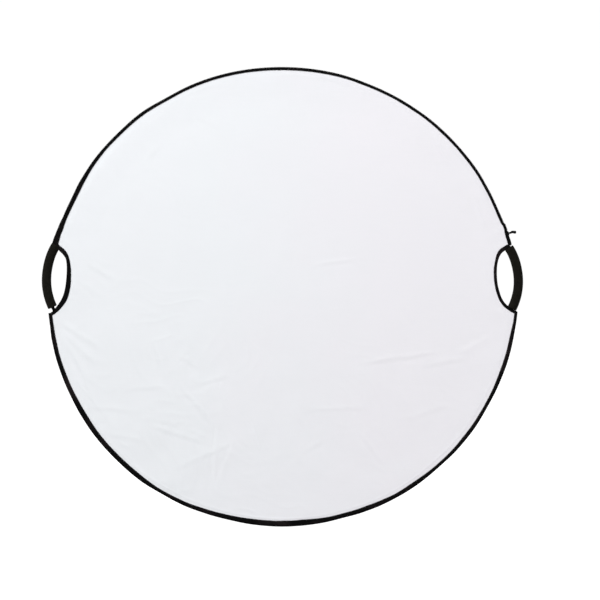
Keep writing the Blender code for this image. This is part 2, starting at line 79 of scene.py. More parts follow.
SLIDER_ANGLE = 17.1
SLIDER_LIFT = 0.0022  # the rim stands out this much at the slider
WEAVE = 0.00042  # the cover cloths' thread spacing
TUBE_RADIUS = 0.00375
GRIP_RADIUS = 0.01125
SIDES = {"left": -1, "right": 1}
# Each grip's arc: the x and z of its bend's centre, its radius, and the angles of its lower and upper end.
GRIP_ARC = {"left": (0.4128, 0.0405, 0.1508, -25.5, 33.0), "right": (0.4233, 0.0371, 0.1428, -26.9, 34.0)}
GRIP_FLARE = 0.0019  # how far a grip's top end straightens outwards from its arc
TILT = 5.3  # the hand holes' axes sit this far above the horizontal
HOLE_CENTRE = 0.5465  # how far out along its axis a hand hole's half ellipse is centred
# The tape round each hand hole, in millimetres: (out, across) of its edge in the hole and of its edge on the
# cloth, going up.
HOLE_TAPE = {
    "left": (
        (548.8, -90.2, 544.0, -95.8), (542.5, -84.5, 537.2, -90.7), (534.8, -73.7, 528.0, -81.1),
        (529.0, -64.1, 519.4, -69.4), (523.8, -53.2, 513.5, -59.4), (520.0, -40.0, 509.4, -47.5),
        (518.0, -26.2, 506.7, -31.0), (517.3, -12.0, 505.6, -13.5), (517.4, 4.0, 506.7, 4.0),
        (518.2, 18.0, 509.0, 22.5), (519.9, 31.0, 513.3, 40.5), (523.6, 44.2, 520.4, 56.0),
        (531.6, 53.8, 530.5, 66.9), (540.7, 61.3, 539.5, 72.8), (549.7, 70.4, 546.5, 79.5),
    ),
    "right": (
        (556.0, -85.5, 551.0, -91.5), (545.0, -79.0, 542.0, -86.0), (537.1, -72.5, 533.0, -78.2),
        (529.0, -63.0, 525.0, -70.0), (522.6, -50.0, 517.5, -57.2), (519.0, -34.5, 512.8, -40.8),
        (516.7, -20.0, 509.9, -23.5), (516.2, -5.0, 509.0, -5.0), (516.8, 8.0, 509.6, 10.5),
        (518.2, 19.5, 512.1, 26.2), (520.3, 30.0, 516.2, 41.2), (524.5, 43.0, 521.4, 54.8),
        (529.7, 52.1, 528.7, 64.7), (537.0, 59.0, 536.5, 69.6), (555.5, 69.4, 551.0, 76.5),
    ),
}
# About how the tape's edges run, as half ellipses: (half length, depth, shift down).
TAPE_EDGE = {"left": (0.0817, 0.0405, 0.0096), "right": (0.0811, 0.0376, 0.0064)}
# By angle and in millimetres: how far the rim wanders from its arcs, and how wide its tape shows on the face.
RIM_WANDER = {
    "upper": (
        (14, 3.0), (17.4, 2.2), (18.2, 3.6), (19.3, 3.4), (20, 1.0), (23, 0.0), (29, 0.7), (34, 1.8),
        (42, 1.3), (50, 1.3), (57, 0.5), (68, -0.1), (76, 1.2), (90, 0.9), (106, 1.7), (112, 1.5),
        (119, 0.0), (127, 3.0), (134, 1.7), (142, 2.2), (148, 1.0), (154, -1.2), (158, -0.8), (161, 1.4),
        (163, 2.8), (166, 3.4),
    ),
    "lower": (
        (184, -3.0), (188, -3.1), (192, -1.0), (197, 0.0), (206, 0.5), (212, 1.7), (217, 2.5),
        (226, 2.1), (233, 2.6), (240, 0.3), (245, 0.6), (251, -1.0), (257, -1.8), (263, -0.8),
        (270, -0.2), (279, -0.6), (285, -1.7), (290, 0.0), (295, 1.1), (304, 1.7), (312, 0.6),
        (318, 1.9), (324, 2.1), (331, 0.6), (337, 1.3), (343, 2.0), (350, 1.4), (356, 2.0),
    ),
}
RIM_WIDTH = {
    "upper": (
        (14, 8.4), (26, 8.1), (40, 8.0), (66, 7.8), (90, 8.3), (118, 8.1), (128, 8.9), (138, 8.6),
        (146, 10.3), (150, 12.2), (158, 11.4), (162, 13.8), (166, 13.8),
    ),
    "lower": (
        (185, 8.8), (188, 9.4), (192, 11.0), (204, 12.0), (212, 13.7), (220, 12.8), (232, 12.7),
        (239, 9.0), (245, 10.4), (256, 12.0), (264, 14.2), (274, 14.9), (284, 11.4), (292, 12.4),
        (300, 10.4), (304, 11.4), (312, 8.4), (322, 10.0), (332, 9.0), (341, 10.7), (348, 10.2),
        (353, 8.0), (356, 7.8),
    ),
}


# ---------------------------------------------------------------- geometry helpers

def polar(angle):
    return math.cos(math.radians(angle)), math.sin(math.radians(angle))


def handle_xz(out, along, side):
    """The (x, z) of a point given along and across a hand hole's tilted axis."""
    c, s = polar(TILT)
    return SIDES[side] * (out * c - along * s), out * s + along * c


def table_at(table, value):
    """A smooth reading, in metres, between the rows of a table in millimetres."""
    keys = [row[0] for row in table]
    n = min(max(int(np.searchsorted(keys, value)) - 1, 0), len(keys) - 2)
    t = soft_step(value, keys[n], keys[n + 1])
    return MM * (table[n][1] + (table[n + 1][1] - table[n][1]) * t)


def soft_step(value, low, high):
    t = min(max((value - low) / (high - low), 0.0), 1.0)
    return t * t * (3 - 2 * t)


def rim_xz(part, radius, angle, wander=True):
    """A point at an angle of the upper or lower arc: of the wandering rim, or of the hoop's plain arc."""
    c, s = polar(angle)
    down = SHIFT if wander else HOOP_SHIFT
    if part == "lower":
        down = -down
    if wander:
        radius += table_at(RIM_WANDER[part], angle)
    return radius * c, radius * s - down


def wave(x, y, z, seed=0.0):
    return noise.noise(Vector((x + seed, y - seed * 1.7, z + seed * 0.6)))


def new_object(name, data):
    obj = bpy.data.objects.new(name, data)
    bpy.context.scene.collection.objects.link(obj)
    return obj


def dress(obj, body, slot, *nodes):
    """Has a piece ride a body and hides the CAD nodes that it stands for. slot is not used."""
    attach(obj, body)
    if nodes:
        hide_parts(*nodes)


def mesh_object(name, verts, faces, materials, marks=None, sharp=None):
    """A smooth object whose faces look outwards. marks gives each face's material, and edges bent by more
    than sharp degrees stay sharp."""
    mesh = bpy.data.meshes.new(name)
    mesh.from_pydata([tuple(v) for v in verts], [], faces)
    for material in materials:
        mesh.materials.append(material)
    if marks:
        mesh.polygons.foreach_set("material_index", marks)
    work = bmesh.new()
    work.from_mesh(mesh)
    bmesh.ops.remove_doubles(work, verts=work.verts, dist=1e-7)
    bmesh.ops.recalc_face_normals(work, faces=work.faces)
    work.to_mesh(mesh)
    work.free()
    mesh.shade_smooth()
    if sharp:
        mesh.set_sharp_from_angle(angle=math.radians(sharp))
    return new_object(name, mesh)


def grid_piece(name, rows, materials, body, slot, *nodes, looped=False, inner=()):
    """Builds and dresses a skin over closed rows of points. looped joins the last row to the first, and
    otherwise both ends are capped. inner gives the row positions whose faces take the second material."""
    rows = np.asarray(rows, float)
    count, width = rows.shape[:2]
    faces = []
    marks = []
    for i in range(count if looped else count - 1):
        k = (i + 1) % count
        for j in range(width):
            m = (j + 1) % width
            faces.append((i * width + j, i * width + m, k * width + m, k * width + j))
            marks.append(1 if j in inner else 0)
    if not looped:
        faces.append(tuple(range(width))[::-1])
        faces.append(tuple((count - 1) * width + j for j in range(width)))
        marks += [0, 0]
    dress(mesh_object(name, rows.reshape(-1, 3), faces, materials, marks, 50), body, slot, *nodes)


def oval(centre, first, second, a, b, count, power=1.0):
    """A ring of points, a along first and b along second. A power under 1 squares it off."""
    ring = []
    for k in range(count):
        c, s = math.cos(2 * math.pi * k / count), math.sin(2 * math.pi * k / count)
        across = first * (math.copysign(abs(c) ** power, c) * a)
        ring.append(tuple(centre + across + second * (math.copysign(abs(s) ** power, s) * b)))
    return ring


def skin_rings(work, rings):
    """Faces over rings of bmesh vertices, with both ends closed."""
    for first, second in zip(rings, rings[1:]):
        for n in range(len(first)):
            m = (n + 1) % len(first)
            work.faces.new((first[n], first[m], second[m], second[n]))
    work.faces.new(rings[0][::-1])
    work.faces.new(rings[-1])


def arc_angles(start, end, step=0.75):
    count = max(2, int(math.ceil(abs(end - start) / step)))
    return [start + (end - start) * n / count for n in range(count + 1)]


def rim_rows(part, angles, profile_at, wander=True):
    """A row for each angle of an arc, from a profile of (radius, forward)."""
    rows = []
    for angle in angles:
        points = [(*rim_xz(part, radius, angle, wander), forward) for radius, forward in profile_at(angle)]
        rows.append([(x, -forward, z) for x, z, forward in points])
    return rows


def path_rows(path, profile_at):
    """path is a list of ((x, z), (nx, nz)), n the direction the profile's first coordinate runs in."""
    rows = []
    for n, ((x, z), (nx, nz)) in enumerate(path):
        rows.append([(x + nx * across, -forward, z + nz * across) for across, forward in profile_at(n)])
    return rows


def with_normals(points, turn=-1):
    """Adds to each point of an (x, z) path the direction to its right (turn -1) or left (turn 1)."""
    points = np.asarray(points, float)
    along = np.gradient(points, axis=0)
    along /= np.linalg.norm(along, axis=1)[:, None]
    normals = np.stack([-along[:, 1], along[:, 0]], axis=1) * turn
    return [(tuple(p), tuple(n)) for p, n in zip(points, normals)]


def rounded(corners, radii, segments=4):
    """A closed profile with each corner rounded by its own radius."""
    out = []
    count = len(corners)
    for n in range(count):
        corner = np.array(corners[n], float)
        before = np.array(corners[n - 1], float) - corner
        after = np.array(corners[(n + 1) % count], float) - corner
        reach = min(radii[n], 0.49 * np.linalg.norm(before), 0.49 * np.linalg.norm(after))
        if reach < 1e-6:
            out.append(tuple(corner))
            continue
        first = corner + before / np.linalg.norm(before) * reach
        last = corner + after / np.linalg.norm(after) * reach
        for step in range(segments + 1):
            t = step / segments
            out.append(tuple((1 - t) ** 2 * first + 2 * t * (1 - t) * corner + t * t * last))
    return out


def mirrored(half):
    """A profile's half and its mirror image across the middle."""
    return half + [(first, -second) for first, second in half[::-1]]


def wrap_profile(wall_out, leg_end, half_out, thick, soft):
    """A folded tape round an edge: wall outermost at wall_out, both legs ending at leg_end."""
    corners = [
        (leg_end, half_out), (wall_out, half_out), (wall_out, -half_out), (leg_end, -half_out),
        (leg_end, -half_out + thick), (wall_out - thick, -half_out + thick),
        (wall_out - thick, half_out - thick), (leg_end, half_out - thick),
    ]
    inner = max(soft - thick, 0.0003)
    radii = [thick * 0.45, soft, soft, thick * 0.45, thick * 0.45, inner, inner, thick * 0.45]
    return rounded(corners, radii)


def smooth_path(points, count):
    """A Catmull-Rom curve through the points, sampled evenly along its rows."""
    points = np.asarray(points, float)
    padded = np.vstack([2 * points[0] - points[1], points, 2 * points[-1] - points[-2]])
    found = []
    for n in range(count + 1):
        place = (len(points) - 1) * n / count
        k = min(int(place), len(points) - 2)
        t = place - k
        a, b, c, d = padded[k:k + 4]
        bend = (2 * a - 5 * b + 4 * c - d) * t**2 + (3 * b - a - 3 * c + d) * t**3
        found.append(0.5 * (2 * b + (c - a) * t + bend))
    return np.array(found)


def hole_tape_points(side, count, inset=0.0):
    """(out, across) of a hand hole's two tape edges, going up, the whole moved inwards by the inset."""
    rows = MM * smooth_path(HOLE_TAPE[side], count)
    rows[:, [0, 2]] -= inset
    return rows[:, :2], rows[:, 2:]


def stitches(name, places, material):
    """One small lozenge of thread at each (point, along, normal)."""
    length, width, height = 0.0022, 0.00045, 0.00022
    verts = []
    faces = []
    for point, along, normal in places:
        p, a, n = Vector(point), Vector(along).normalized(), Vector(normal).normalized()
        b = a.cross(n)
        base = len(verts)
        verts += [p - a * length / 2, p + a * length / 2, p + b * width / 2, p - b * width / 2]
        verts += [p + n * height, p - n * height * 0.5]
        for top in (4, 5):
            for s, e in ((0, 2), (2, 1), (1, 3), (3, 0)):
                faces.append((base + s, base + e, base + top))
    return mesh_object(name, verts, faces, [material])


# ---------------------------------------------------------------- materials

class Look:
    """A Principled material whose parts are added one by one."""

    def __init__(self, name, colour, roughness, metallic=0.0):
        self.material = bpy.data.materials.new(name)
        self.material.use_nodes = True
        self.nodes = self.material.node_tree.nodes
        self.links = self.material.node_tree.links
        self.shader = self.nodes["Principled BSDF"]
        self.set("Base Color", colour)
        self.set("Roughness", roughness)
        self.set("Metallic", metallic)
        self.place = self.nodes.new("ShaderNodeTexCoord").outputs["Object"]
        self.height = None

    def set(self, name, value):
        self.feed(self.shader.inputs[name], value)

    def feed(self, target, value):
        """Gives an input another node's output, a colour or a plain value."""
        if isinstance(value, bpy.types.NodeSocket):
            self.links.new(value, target)
        elif target.type == "RGBA":
            target.default_value = (*value, 1.0)
        else:
            target.default_value = value

    def node(self, kind, **inputs):
        """A node with its inputs fed, an underscore standing for a space in an input's name."""
        made = self.nodes.new(kind)
        for name, value in inputs.items():
            self.feed(made.inputs[name.replace("_", " ")], value)
        return made

    def noise(self, scale, detail=3.0, rough=0.5, stretch=None):
        place = self.place
        if stretch:
            place = self.node("ShaderNodeMapping", Vector=place, Scale=stretch).outputs["Vector"]
        made = self.node("ShaderNodeTexNoise", Vector=place, Scale=scale, Detail=detail, Roughness=rough)
        return made.outputs["Fac"]

    def wrinkles(self, scale):
        """Sharp little ridges, as in cloth that has been folded small."""
        made = self.noise(scale, 4.0, 0.5)
        made.node.noise_type = "RIDGED_MULTIFRACTAL"
        return made

    def threads(self, period, across, distort=0.4):
        """A wave of the given period in metres along X, Y or Z."""
        scale = 0.314159 / period
        made = self.node("ShaderNodeTexWave", Vector=self.place, Scale=scale, Distortion=distort, Detail=1.0)
        made.bands_direction = across
        return made.outputs["Fac"]

    def weave(self):
        return self.maths("MAXIMUM", self.threads(WEAVE, "X"), self.threads(WEAVE, "Z"))

    def maths(self, operation, *values, clamp=False):
        made = self.nodes.new("ShaderNodeMath")
        made.operation = operation
        made.use_clamp = clamp
        for target, value in zip(made.inputs, values):
            self.feed(target, value)
        return made.outputs[0]

    def ramp(self, source, low, high, colours):
        """Reads the source as a run from one colour to another. A number stands for a grey."""
        made = self.node("ShaderNodeValToRGB", Fac=source)
        for element, position, colour in zip(made.color_ramp.elements, (low, high), colours):
            element.position = position
            element.color = (*(colour if isinstance(colour, tuple) else (colour,) * 3), 1.0)
        return made.outputs["Color"]

    def mix(self, share, a, b, blend="MIX"):
        made = self.nodes.new("ShaderNodeMix")
        made.data_type = "RGBA"
        made.blend_type = blend
        for slot, value in (("Factor", share), (6, a), (7, b)):
            self.feed(made.inputs[slot], value)
        return made.outputs[2]

    def colour(self, source):
        self.set("Base Color", source)

    def roughness(self, source, low, high):
        made = self.node("ShaderNodeMapRange", Value=source, To_Min=low, To_Max=high)
        self.set("Roughness", made.outputs["Result"])

    def bump(self, source, strength, distance):
        """Adds a bump on top of those already there."""
        made = self.node("ShaderNodeBump", Strength=strength, Distance=distance, Height=source)
        if self.height:
            self.feed(made.inputs["Normal"], self.height)
        self.height = made.outputs["Normal"]
        self.set("Normal", self.height)

    def sheen(self, weight, rough=0.4, tint=(1, 1, 1)):
        self.set("Sheen Weight", weight)
        self.set("Sheen Roughness", rough)
        self.set("Sheen Tint", tint)


def white_cloth():
    """Taut white polyester: close weave, a faint cool tint that drifts to lavender on the right."""
    look = Look("white_cloth_look", (0.84, 0.845, 0.875), 0.5)
    split = look.node("ShaderNodeSeparateXYZ", Vector=look.place)
    drift = look.maths("MULTIPLY_ADD", split.outputs["X"], 1.1, 0.5)
    patch = look.noise(3.2, 3.0, 0.6)
    place = look.maths("ADD", drift, look.maths("MULTIPLY_ADD", patch, 0.7, -0.35))
    tint = look.ramp(place, 0.30, 0.78, ((0.815, 0.835, 0.860), (0.835, 0.825, 0.860)))
    weave = look.weave()
    shade = look.ramp(weave, 0.0, 1.0, (0.975, 1.0))
    slub = look.noise(60.0, 2.0, 0.5, stretch=(0.3, 1.0, 12.0))
    slubs = look.ramp(slub, 0.35, 0.65, (0.992, 1.0))
    look.colour(look.mix(1.0, look.mix(1.0, tint, shade, "MULTIPLY"), slubs, "MULTIPLY"))
    look.roughness(patch, 0.42, 0.58)
    look.sheen(0.25, 0.35)
    wrinkles = look.wrinkles(13.0)
    lower = look.maths("MULTIPLY_ADD", split.outputs["Z"], -1.1, 0.5, clamp=True)
    look.bump(look.maths("MULTIPLY", wrinkles, lower), 0.35, 0.0010)
    look.bump(weave, 0.35, 0.00006)
    look.bump(look.noise(240.0, 3.0, 0.6), 0.15, 0.00012)
    return look.material


def coated_cloth(name, colour, tone, roughness):
    """The coated inner side of a cover cloth: a metallic film over the weave, cracked along its folds."""
    look = Look(name, colour, roughness, 0.9)
    look.colour(look.ramp(look.noise(14.0, 5.0, 0.6), 0.3, 0.75, (tone, colour)))
    look.roughness(look.noise(90.0, 4.0, 0.6), roughness - 0.08, roughness + 0.14)
    look.bump(look.weave(), 0.4, 0.00006)
    look.bump(look.noise(38.0, 5.0, 0.7), 0.35, 0.0009)
    look.bump(look.wrinkles(17.0), 0.4, 0.0010)
    return look.material


def black_cloth():
    look = Look("black_cloth_look", (0.012, 0.012, 0.013), 0.6)
    shades = ((0.008, 0.008, 0.009), (0.015, 0.015, 0.017))
    look.colour(look.ramp(look.noise(9.0, 4.0, 0.6), 0.3, 0.8, shades))
    look.roughness(look.noise(40.0, 3.0), 0.34, 0.52)
    look.sheen(0.12, 0.4, (0.8, 0.8, 0.9))
    look.set("Specular IOR Level", 0.5)
    look.bump(look.wrinkles(11.0), 0.5, 0.0012)
    look.bump(look.weave(), 0.5, 0.00008)
    return look.material


def sheer_cloth():
    """The diffuser's sheer knit: light passes through it."""
    look = Look("sheer_cloth_look", (0.88, 0.88, 0.87), 0.7)
    look.colour(look.ramp(look.noise(5.0, 3.0), 0.3, 0.7, ((0.84, 0.84, 0.83), (0.90, 0.90, 0.89))))
    weave = look.maths("MULTIPLY", look.threads(0.0006, "X"), look.threads(0.0006, "Z"))
    look.bump(weave, 0.5, 0.0001)
    through = look.node("ShaderNodeBsdfTranslucent", Color=(0.86, 0.86, 0.85))
    both = look.node("ShaderNodeMixShader", Fac=0.45)
    output = look.nodes["Material Output"]
    look.links.new(look.shader.outputs[0], both.inputs[1])
    look.links.new(through.outputs[0], both.inputs[2])
    look.links.new(both.outputs[0], output.inputs["Surface"])
    return look.material


def binding_cloth(name="black_binding_look", tone=0.0016, satin_highlight_tone=0.011):
    """Woven edge tape, ribbed, with stretches painted lighter as a painted satin highlight."""
    look = Look(name, (tone, tone, tone * 1.05), 0.6)
    shades = (tone * 0.5, (tone * 1.5, tone * 1.4, tone * 1.5))
    dark = look.ramp(look.noise(90.0, 4.0, 0.7), 0.35, 0.75, shades)
    # Painted highlight: noise patches mixed towards a lighter satin grey stand in for where the tape catches
    # the light.
    painted_highlight_mask = look.ramp(look.noise(16.0, 3.0, 0.55), 0.52, 0.74, (0.0, 1.0))
    look.colour(look.mix(painted_highlight_mask, dark, (satin_highlight_tone, satin_highlight_tone * 0.74, satin_highlight_tone * 0.80)))
    look.roughness(look.noise(120.0, 3.0), 0.5, 0.72)
    look.set("Specular IOR Level", 0.05)
    look.sheen(0.02, 0.35, (0.9, 0.85, 0.95))
    ribs = look.maths("MAXIMUM", look.threads(0.0007, "DIAGONAL", 0.6), look.threads(0.0007, "X", 0.6))
    look.bump(ribs, 0.5, 0.00012)
    return look.material


def thread_look(name, tone):
    look = Look(name, tone, 0.6)
    look.colour(look.ramp(look.noise(900.0, 2.0), 0.3, 0.7, (tuple(c * 0.6 for c in tone), tone)))
    look.set("Specular IOR Level", 0.2)
    look.sheen(0.03)
    look.bump(look.noise(2500.0, 1.0), 0.4, 0.0001)
    return look.material


def foam_look():
    """Open black foam with a fuzzy skin and small pits."""
    look = Look("grip_foam_look", (0.008, 0.0075, 0.006), 0.95)
    pits = look.node("ShaderNodeTexVoronoi", Vector=look.place, Scale=750.0)
    grain = look.noise(420.0, 4.0, 0.7)
    cells = look.maths("MULTIPLY", pits.outputs["Distance"], 0.9)
    shades = ((0.0030, 0.0027, 0.0020), (0.0105, 0.0094, 0.0070))
    look.colour(look.ramp(look.noise(160.0, 5.0, 0.75), 0.3, 0.75, shades))
    look.roughness(grain, 0.85, 1.0)
    look.set("Specular IOR Level", 0.06)
    look.sheen(0.03, 0.6, (0.9, 0.85, 0.75))
    look.bump(cells, 0.8, 0.0006)
    look.bump(grain, 0.6, 0.0005)
    return look.material


def plastic_look(name, tone, roughness):
    look = Look(name, (tone, tone, tone * 1.03), roughness)
    mark = look.noise(300.0, 4.0, 0.6)
    look.colour(look.ramp(mark, 0.3, 0.8, (tone * 0.8, tone * 1.3)))
    look.roughness(mark, roughness - 0.06, roughness + 0.1)
    look.bump(look.noise(1500.0, 2.0), 0.15, 0.00005)
    look.set("Specular IOR Level", 0.12)
    return look.material


def metal_look(name, colour, roughness):
    """Metal brushed along Z."""
    look = Look(name, colour, roughness, 1.0)
    lines = look.noise(25.0, 4.0, 0.7, stretch=(60.0, 60.0, 2.0))
    dark = tuple(c * 0.75 for c in colour)
    look.colour(look.ramp(lines, 0.35, 0.7, (dark, colour)))
    look.roughness(lines, roughness - 0.08, roughness + 0.12)
    look.bump(lines, 0.2, 0.00005)
    return look.material


white = white_cloth()
silver = coated_cloth("silver_film_look", (0.82, 0.83, 0.84), (0.72, 0.73, 0.75), 0.34)
gold = coated_cloth("gold_film_look", (0.84, 0.62, 0.25), (0.74, 0.53, 0.19), 0.36)
black = black_cloth()
sheer = sheer_cloth()
binding = binding_cloth()
# A lighter copy of the black binding, painted as a satin highlight along the lower binding's inner edge.
painted_highlight_binding = binding_cloth("painted_highlight_binding_look", 0.012, 0.034)
zip_cloth = binding_cloth("zip_cloth_look", 0.0014, 0.005)
core_tape = binding_cloth("core_tape_look", 0.004, 0.014)
tube_cloth = binding_cloth("tube_cloth_look", 0.0025, 0.008)
thread = thread_look("black_thread_look", (0.010, 0.010, 0.011))
foam = foam_look()
lining = plastic_look("grip_lining_look", 0.010, 0.5)
nylon = plastic_look("zip_nylon_look", 0.004, 0.45)
rubber = plastic_look("pull_rubber_look", 0.0015, 0.6)
zinc = plastic_look("zip_metal_look", 0.0015, 0.5)
steel = metal_look("spring_steel_look", (0.42, 0.43, 0.46), 0.3)


# ---------------------------------------------------------------- cloths

def rim_distance(x, z):
    """How far inside the cloth's outer edge a point is."""
    part = "upper" if z > 0.0 else "lower"
    middle = -SHIFT if part == "upper" else SHIFT
    angle = math.degrees(math.atan2(z - middle, x)) % 360
    return CLOTH + table_at(RIM_WANDER[part], angle) - math.hypot(x, z - middle)


def handle_uv(x, z, side):
    """The (out, along) of a point along and across a hand hole's tilted axis."""
    c, s = polar(TILT)
    x *= SIDES[side]
    return x * c + z * s, -x * s + z * c


def hole_distance(x, z, side):
    """About how far a point is from a hand hole's tape edge."""
    half, depth, down = TAPE_EDGE[side]
    u, v = handle_uv(x, z, side)
    a, b = (min(u, HOLE_CENTRE) - HOLE_CENTRE) / depth, (v + down) / half
    far = math.hypot(a, b)
    if far < 1e-6:
        return -depth
    slope = math.hypot(a / depth, b / half) / far
    return (far - 1.0) / max(slope, 1e-6)


def cloth_outline(radius, ends, inset=0.0, trim=0, wander=True):
    """A whole cloth's outline as (x, z), anticlockwise from the right hole's top. ends are its arcs' ends."""
    edges = {}
    for side in SIDES:
        near, _ = hole_tape_points(side, 80, inset)
        edges[side] = [handle_xz(u, v, side) for u, v in near[trim:len(near) - trim]]
    over = [rim_xz("upper", radius, angle, wander) for angle in arc_angles(ends[0], ends[1])]
    under = [rim_xz("lower", radius, angle, wander) for angle in arc_angles(ends[2], ends[3])]
    return np.array(over + edges["left"][::-1] + under + edges["right"])


def reach_of(outline, angles):
    """How far the outline is from the middle in each direction."""
    ends = np.roll(outline, -1, axis=0)
    found = []
    for angle in angles:
        dx, dz = math.cos(angle), math.sin(angle)
        sx, sz = ends[:, 0] - outline[:, 0], ends[:, 1] - outline[:, 1]
        cross = dx * sz - dz * sx
        with np.errstate(divide="ignore", invalid="ignore"):
            t = (outline[:, 0] * sz - outline[:, 1] * sx) / cross
            s = (outline[:, 0] * dz - outline[:, 1] * dx) / cross
        good = (np.abs(cross) > 1e-12) & (s >= -1e-9) & (s <= 1 + 1e-9) & (t > 0)
        found.append(float(t[good].min()))
    return found


def ring_shares():
    """Shares of the way out for a cloth's rings: close near the rim, where the channel shows through."""
    inner = [0.0] + [0.006 + n * 0.00855 for n in range(1, 108)]
    top = inner[-1]
    outer = [top + (1 - top) * (n / 30) for n in range(1, 31)]
    return inner + outer


def cloth_sheet(name, outline, height_at, materials, thick, towards=1, folds=False):
    """A sheet over the outline with its shown side at height_at(x, z) and its thickness behind that side.
    towards is 1 for a side shown to the front. A sheet that folds gets close rows at the fold."""
    count = 600
    angles = [2 * math.pi * n / count for n in range(count)]
    reach = reach_of(outline, angles)
    shares = ring_shares()
    points = [(0.0, 0.0)]
    for share in shares[1:]:
        points += [(r * share * math.cos(a), r * share * math.sin(a)) for r, a in zip(reach, angles)]
    faces = [(0, 1 + n, 1 + (n + 1) % count) for n in range(count)]
    for ring in range(len(shares) - 2):
        low, high = 1 + ring * count, 1 + (ring + 1) * count
        for n in range(count):
            m = (n + 1) % count
            faces.append((low + n, high + n, high + m, low + m))
    mesh = bpy.data.meshes.new(name)
    mesh.from_pydata([(x, 0.0, z) for x, z in points], [], faces)
    work = bmesh.new()
    work.from_mesh(mesh)
    for n in range(15 if folds else 0):
        cut = (0, 0, FOLD_Z - 0.0070 + n * 0.001)
        everything = work.verts[:] + work.edges[:] + work.faces[:]
        bmesh.ops.bisect_plane(work, geom=everything, dist=1e-6, plane_co=cut, plane_no=(0, 0, 1))
    for vertex in work.verts:
        vertex.co.y = -height_at(vertex.co.x, vertex.co.z)
    bmesh.ops.recalc_face_normals(work, faces=work.faces)
    work.faces.ensure_lookup_table()
    if (sum(face.normal.y * face.calc_area() for face in work.faces) > 0) != (towards < 0):
        bmesh.ops.reverse_faces(work, faces=work.faces)
    work.to_mesh(mesh)
    work.free()
    for material in materials:
        mesh.materials.append(material)
    mesh.shade_smooth()
    obj = new_object(name, mesh)
    solidify = obj.modifiers.new("thickness", "SOLIDIFY")
    solidify.thickness = thick
    solidify.offset = -1.0
    if len(materials) > 1:
        solidify.material_offset = 1
        solidify.material_offset_rim = 0
    apply_modifiers(obj)
    return obj


def apply_modifiers(obj):
    graph = bpy.context.evaluated_depsgraph_get()
    mesh = bpy.data.meshes.new_from_object(obj.evaluated_get(graph))
    obj.modifiers.clear()
    obj.data = mesh


# Creases of the front cloth in millimetres: (x1, z1, x2, z2, width, height) of each.
CREASES = (
    (-318, -305, -188, -347, 4.5, 0.70), (-345, -290, -250, -303, 4.5, 0.42),
    (-262, -414, -112, -345, 4.5, 0.62), (-150, -290, -168, -505, 4.5, 0.55),
    (-112, -335, -158, -462, 4.0, 0.48), (-74, -288, -46, -372, 4.5, 0.55),
    (-532, -58, -430, -126, 6.0, 0.90), (-524, -84, -444, -156, 5.5, 0.85),
    (-515, -112, -456, -205, 6.0, 0.80), (-492, -150, -448, -255, 6.0, 0.60),
    (-480, -205, -440, -330, 7.0, 0.70), (-455, -262, -350, -272, 5.0, 0.60),
    (-420, -325, -330, -345, 5.0, 0.55), (-380, -222, -290, -215, 4.5, 0.50),
    (-305, -110, -290, -165, 4.5, 0.48), (-245, -140, -190, -170, 4.5, 0.50),
    (-200, -205, -120, -190, 4.5, 0.48), (-240, -215, -165, -300, 4.5, 0.55),
    (-462, 80, -404, 44, 5.5, 0.65), (-470, 30, -430, 0, 6.0, 0.45), (-330, 320, -285, 375, 5.0, 0.45),
    (-205, 440, -150, 402, 5.0, 0.45), (-385, 215, -350, 170, 5.5, 0.40),
    (360, 405, 410, 300, 6.0, 0.65), (455, 250, 485, 165, 6.0, 0.55), (285, -12, 312, -58, 4.0, 0.60),
    (500, -90, 425, -135, 6.0, 0.60), (190, -158, 370, -130, 5.0, 0.60),
    (340, -165, 440, -142, 5.0, 0.50), (60, -270, 200, -262, 4.5, 0.45),
    (50, -372, 102, -340, 4.5, 0.55), (190, -330, 245, -400, 4.5, 0.45),
    (300, -290, 400, -255, 5.0, 0.40), (75, 75, 180, 92, 4.5, 0.35),
)


def crease_height(x, z, creases):
    """How high the creases stand at a point: low ridges, tapering out at their ends, with a trough beside
    each.
    """
    total = 0.0
    for x1, z1, x2, z2, width, height in creases:
        dx, dz = x2 - x1, z2 - z1
        long = math.hypot(dx, dz)
        t = ((x - x1) * dx + (z - z1) * dz) / (long * long)
        if not -0.15 < t < 1.15:
            continue
        side = ((x - x1) * -dz + (z - z1) * dx) / long
        side += 0.004 * wave(x * 22, 0.0, z * 22, 3.0)
        if abs(side) > 5 * width:
            continue
        ends = soft_step(t, -0.12, 0.25) * soft_step(1 - t, -0.12, 0.25)
        ridge = math.exp(-((side / width) ** 2))
        trough = 0.55 * math.exp(-(((side + 1.9 * width) / (1.3 * width)) ** 2))
        total += 0.85 * height * ends * (ridge - trough)
    return total


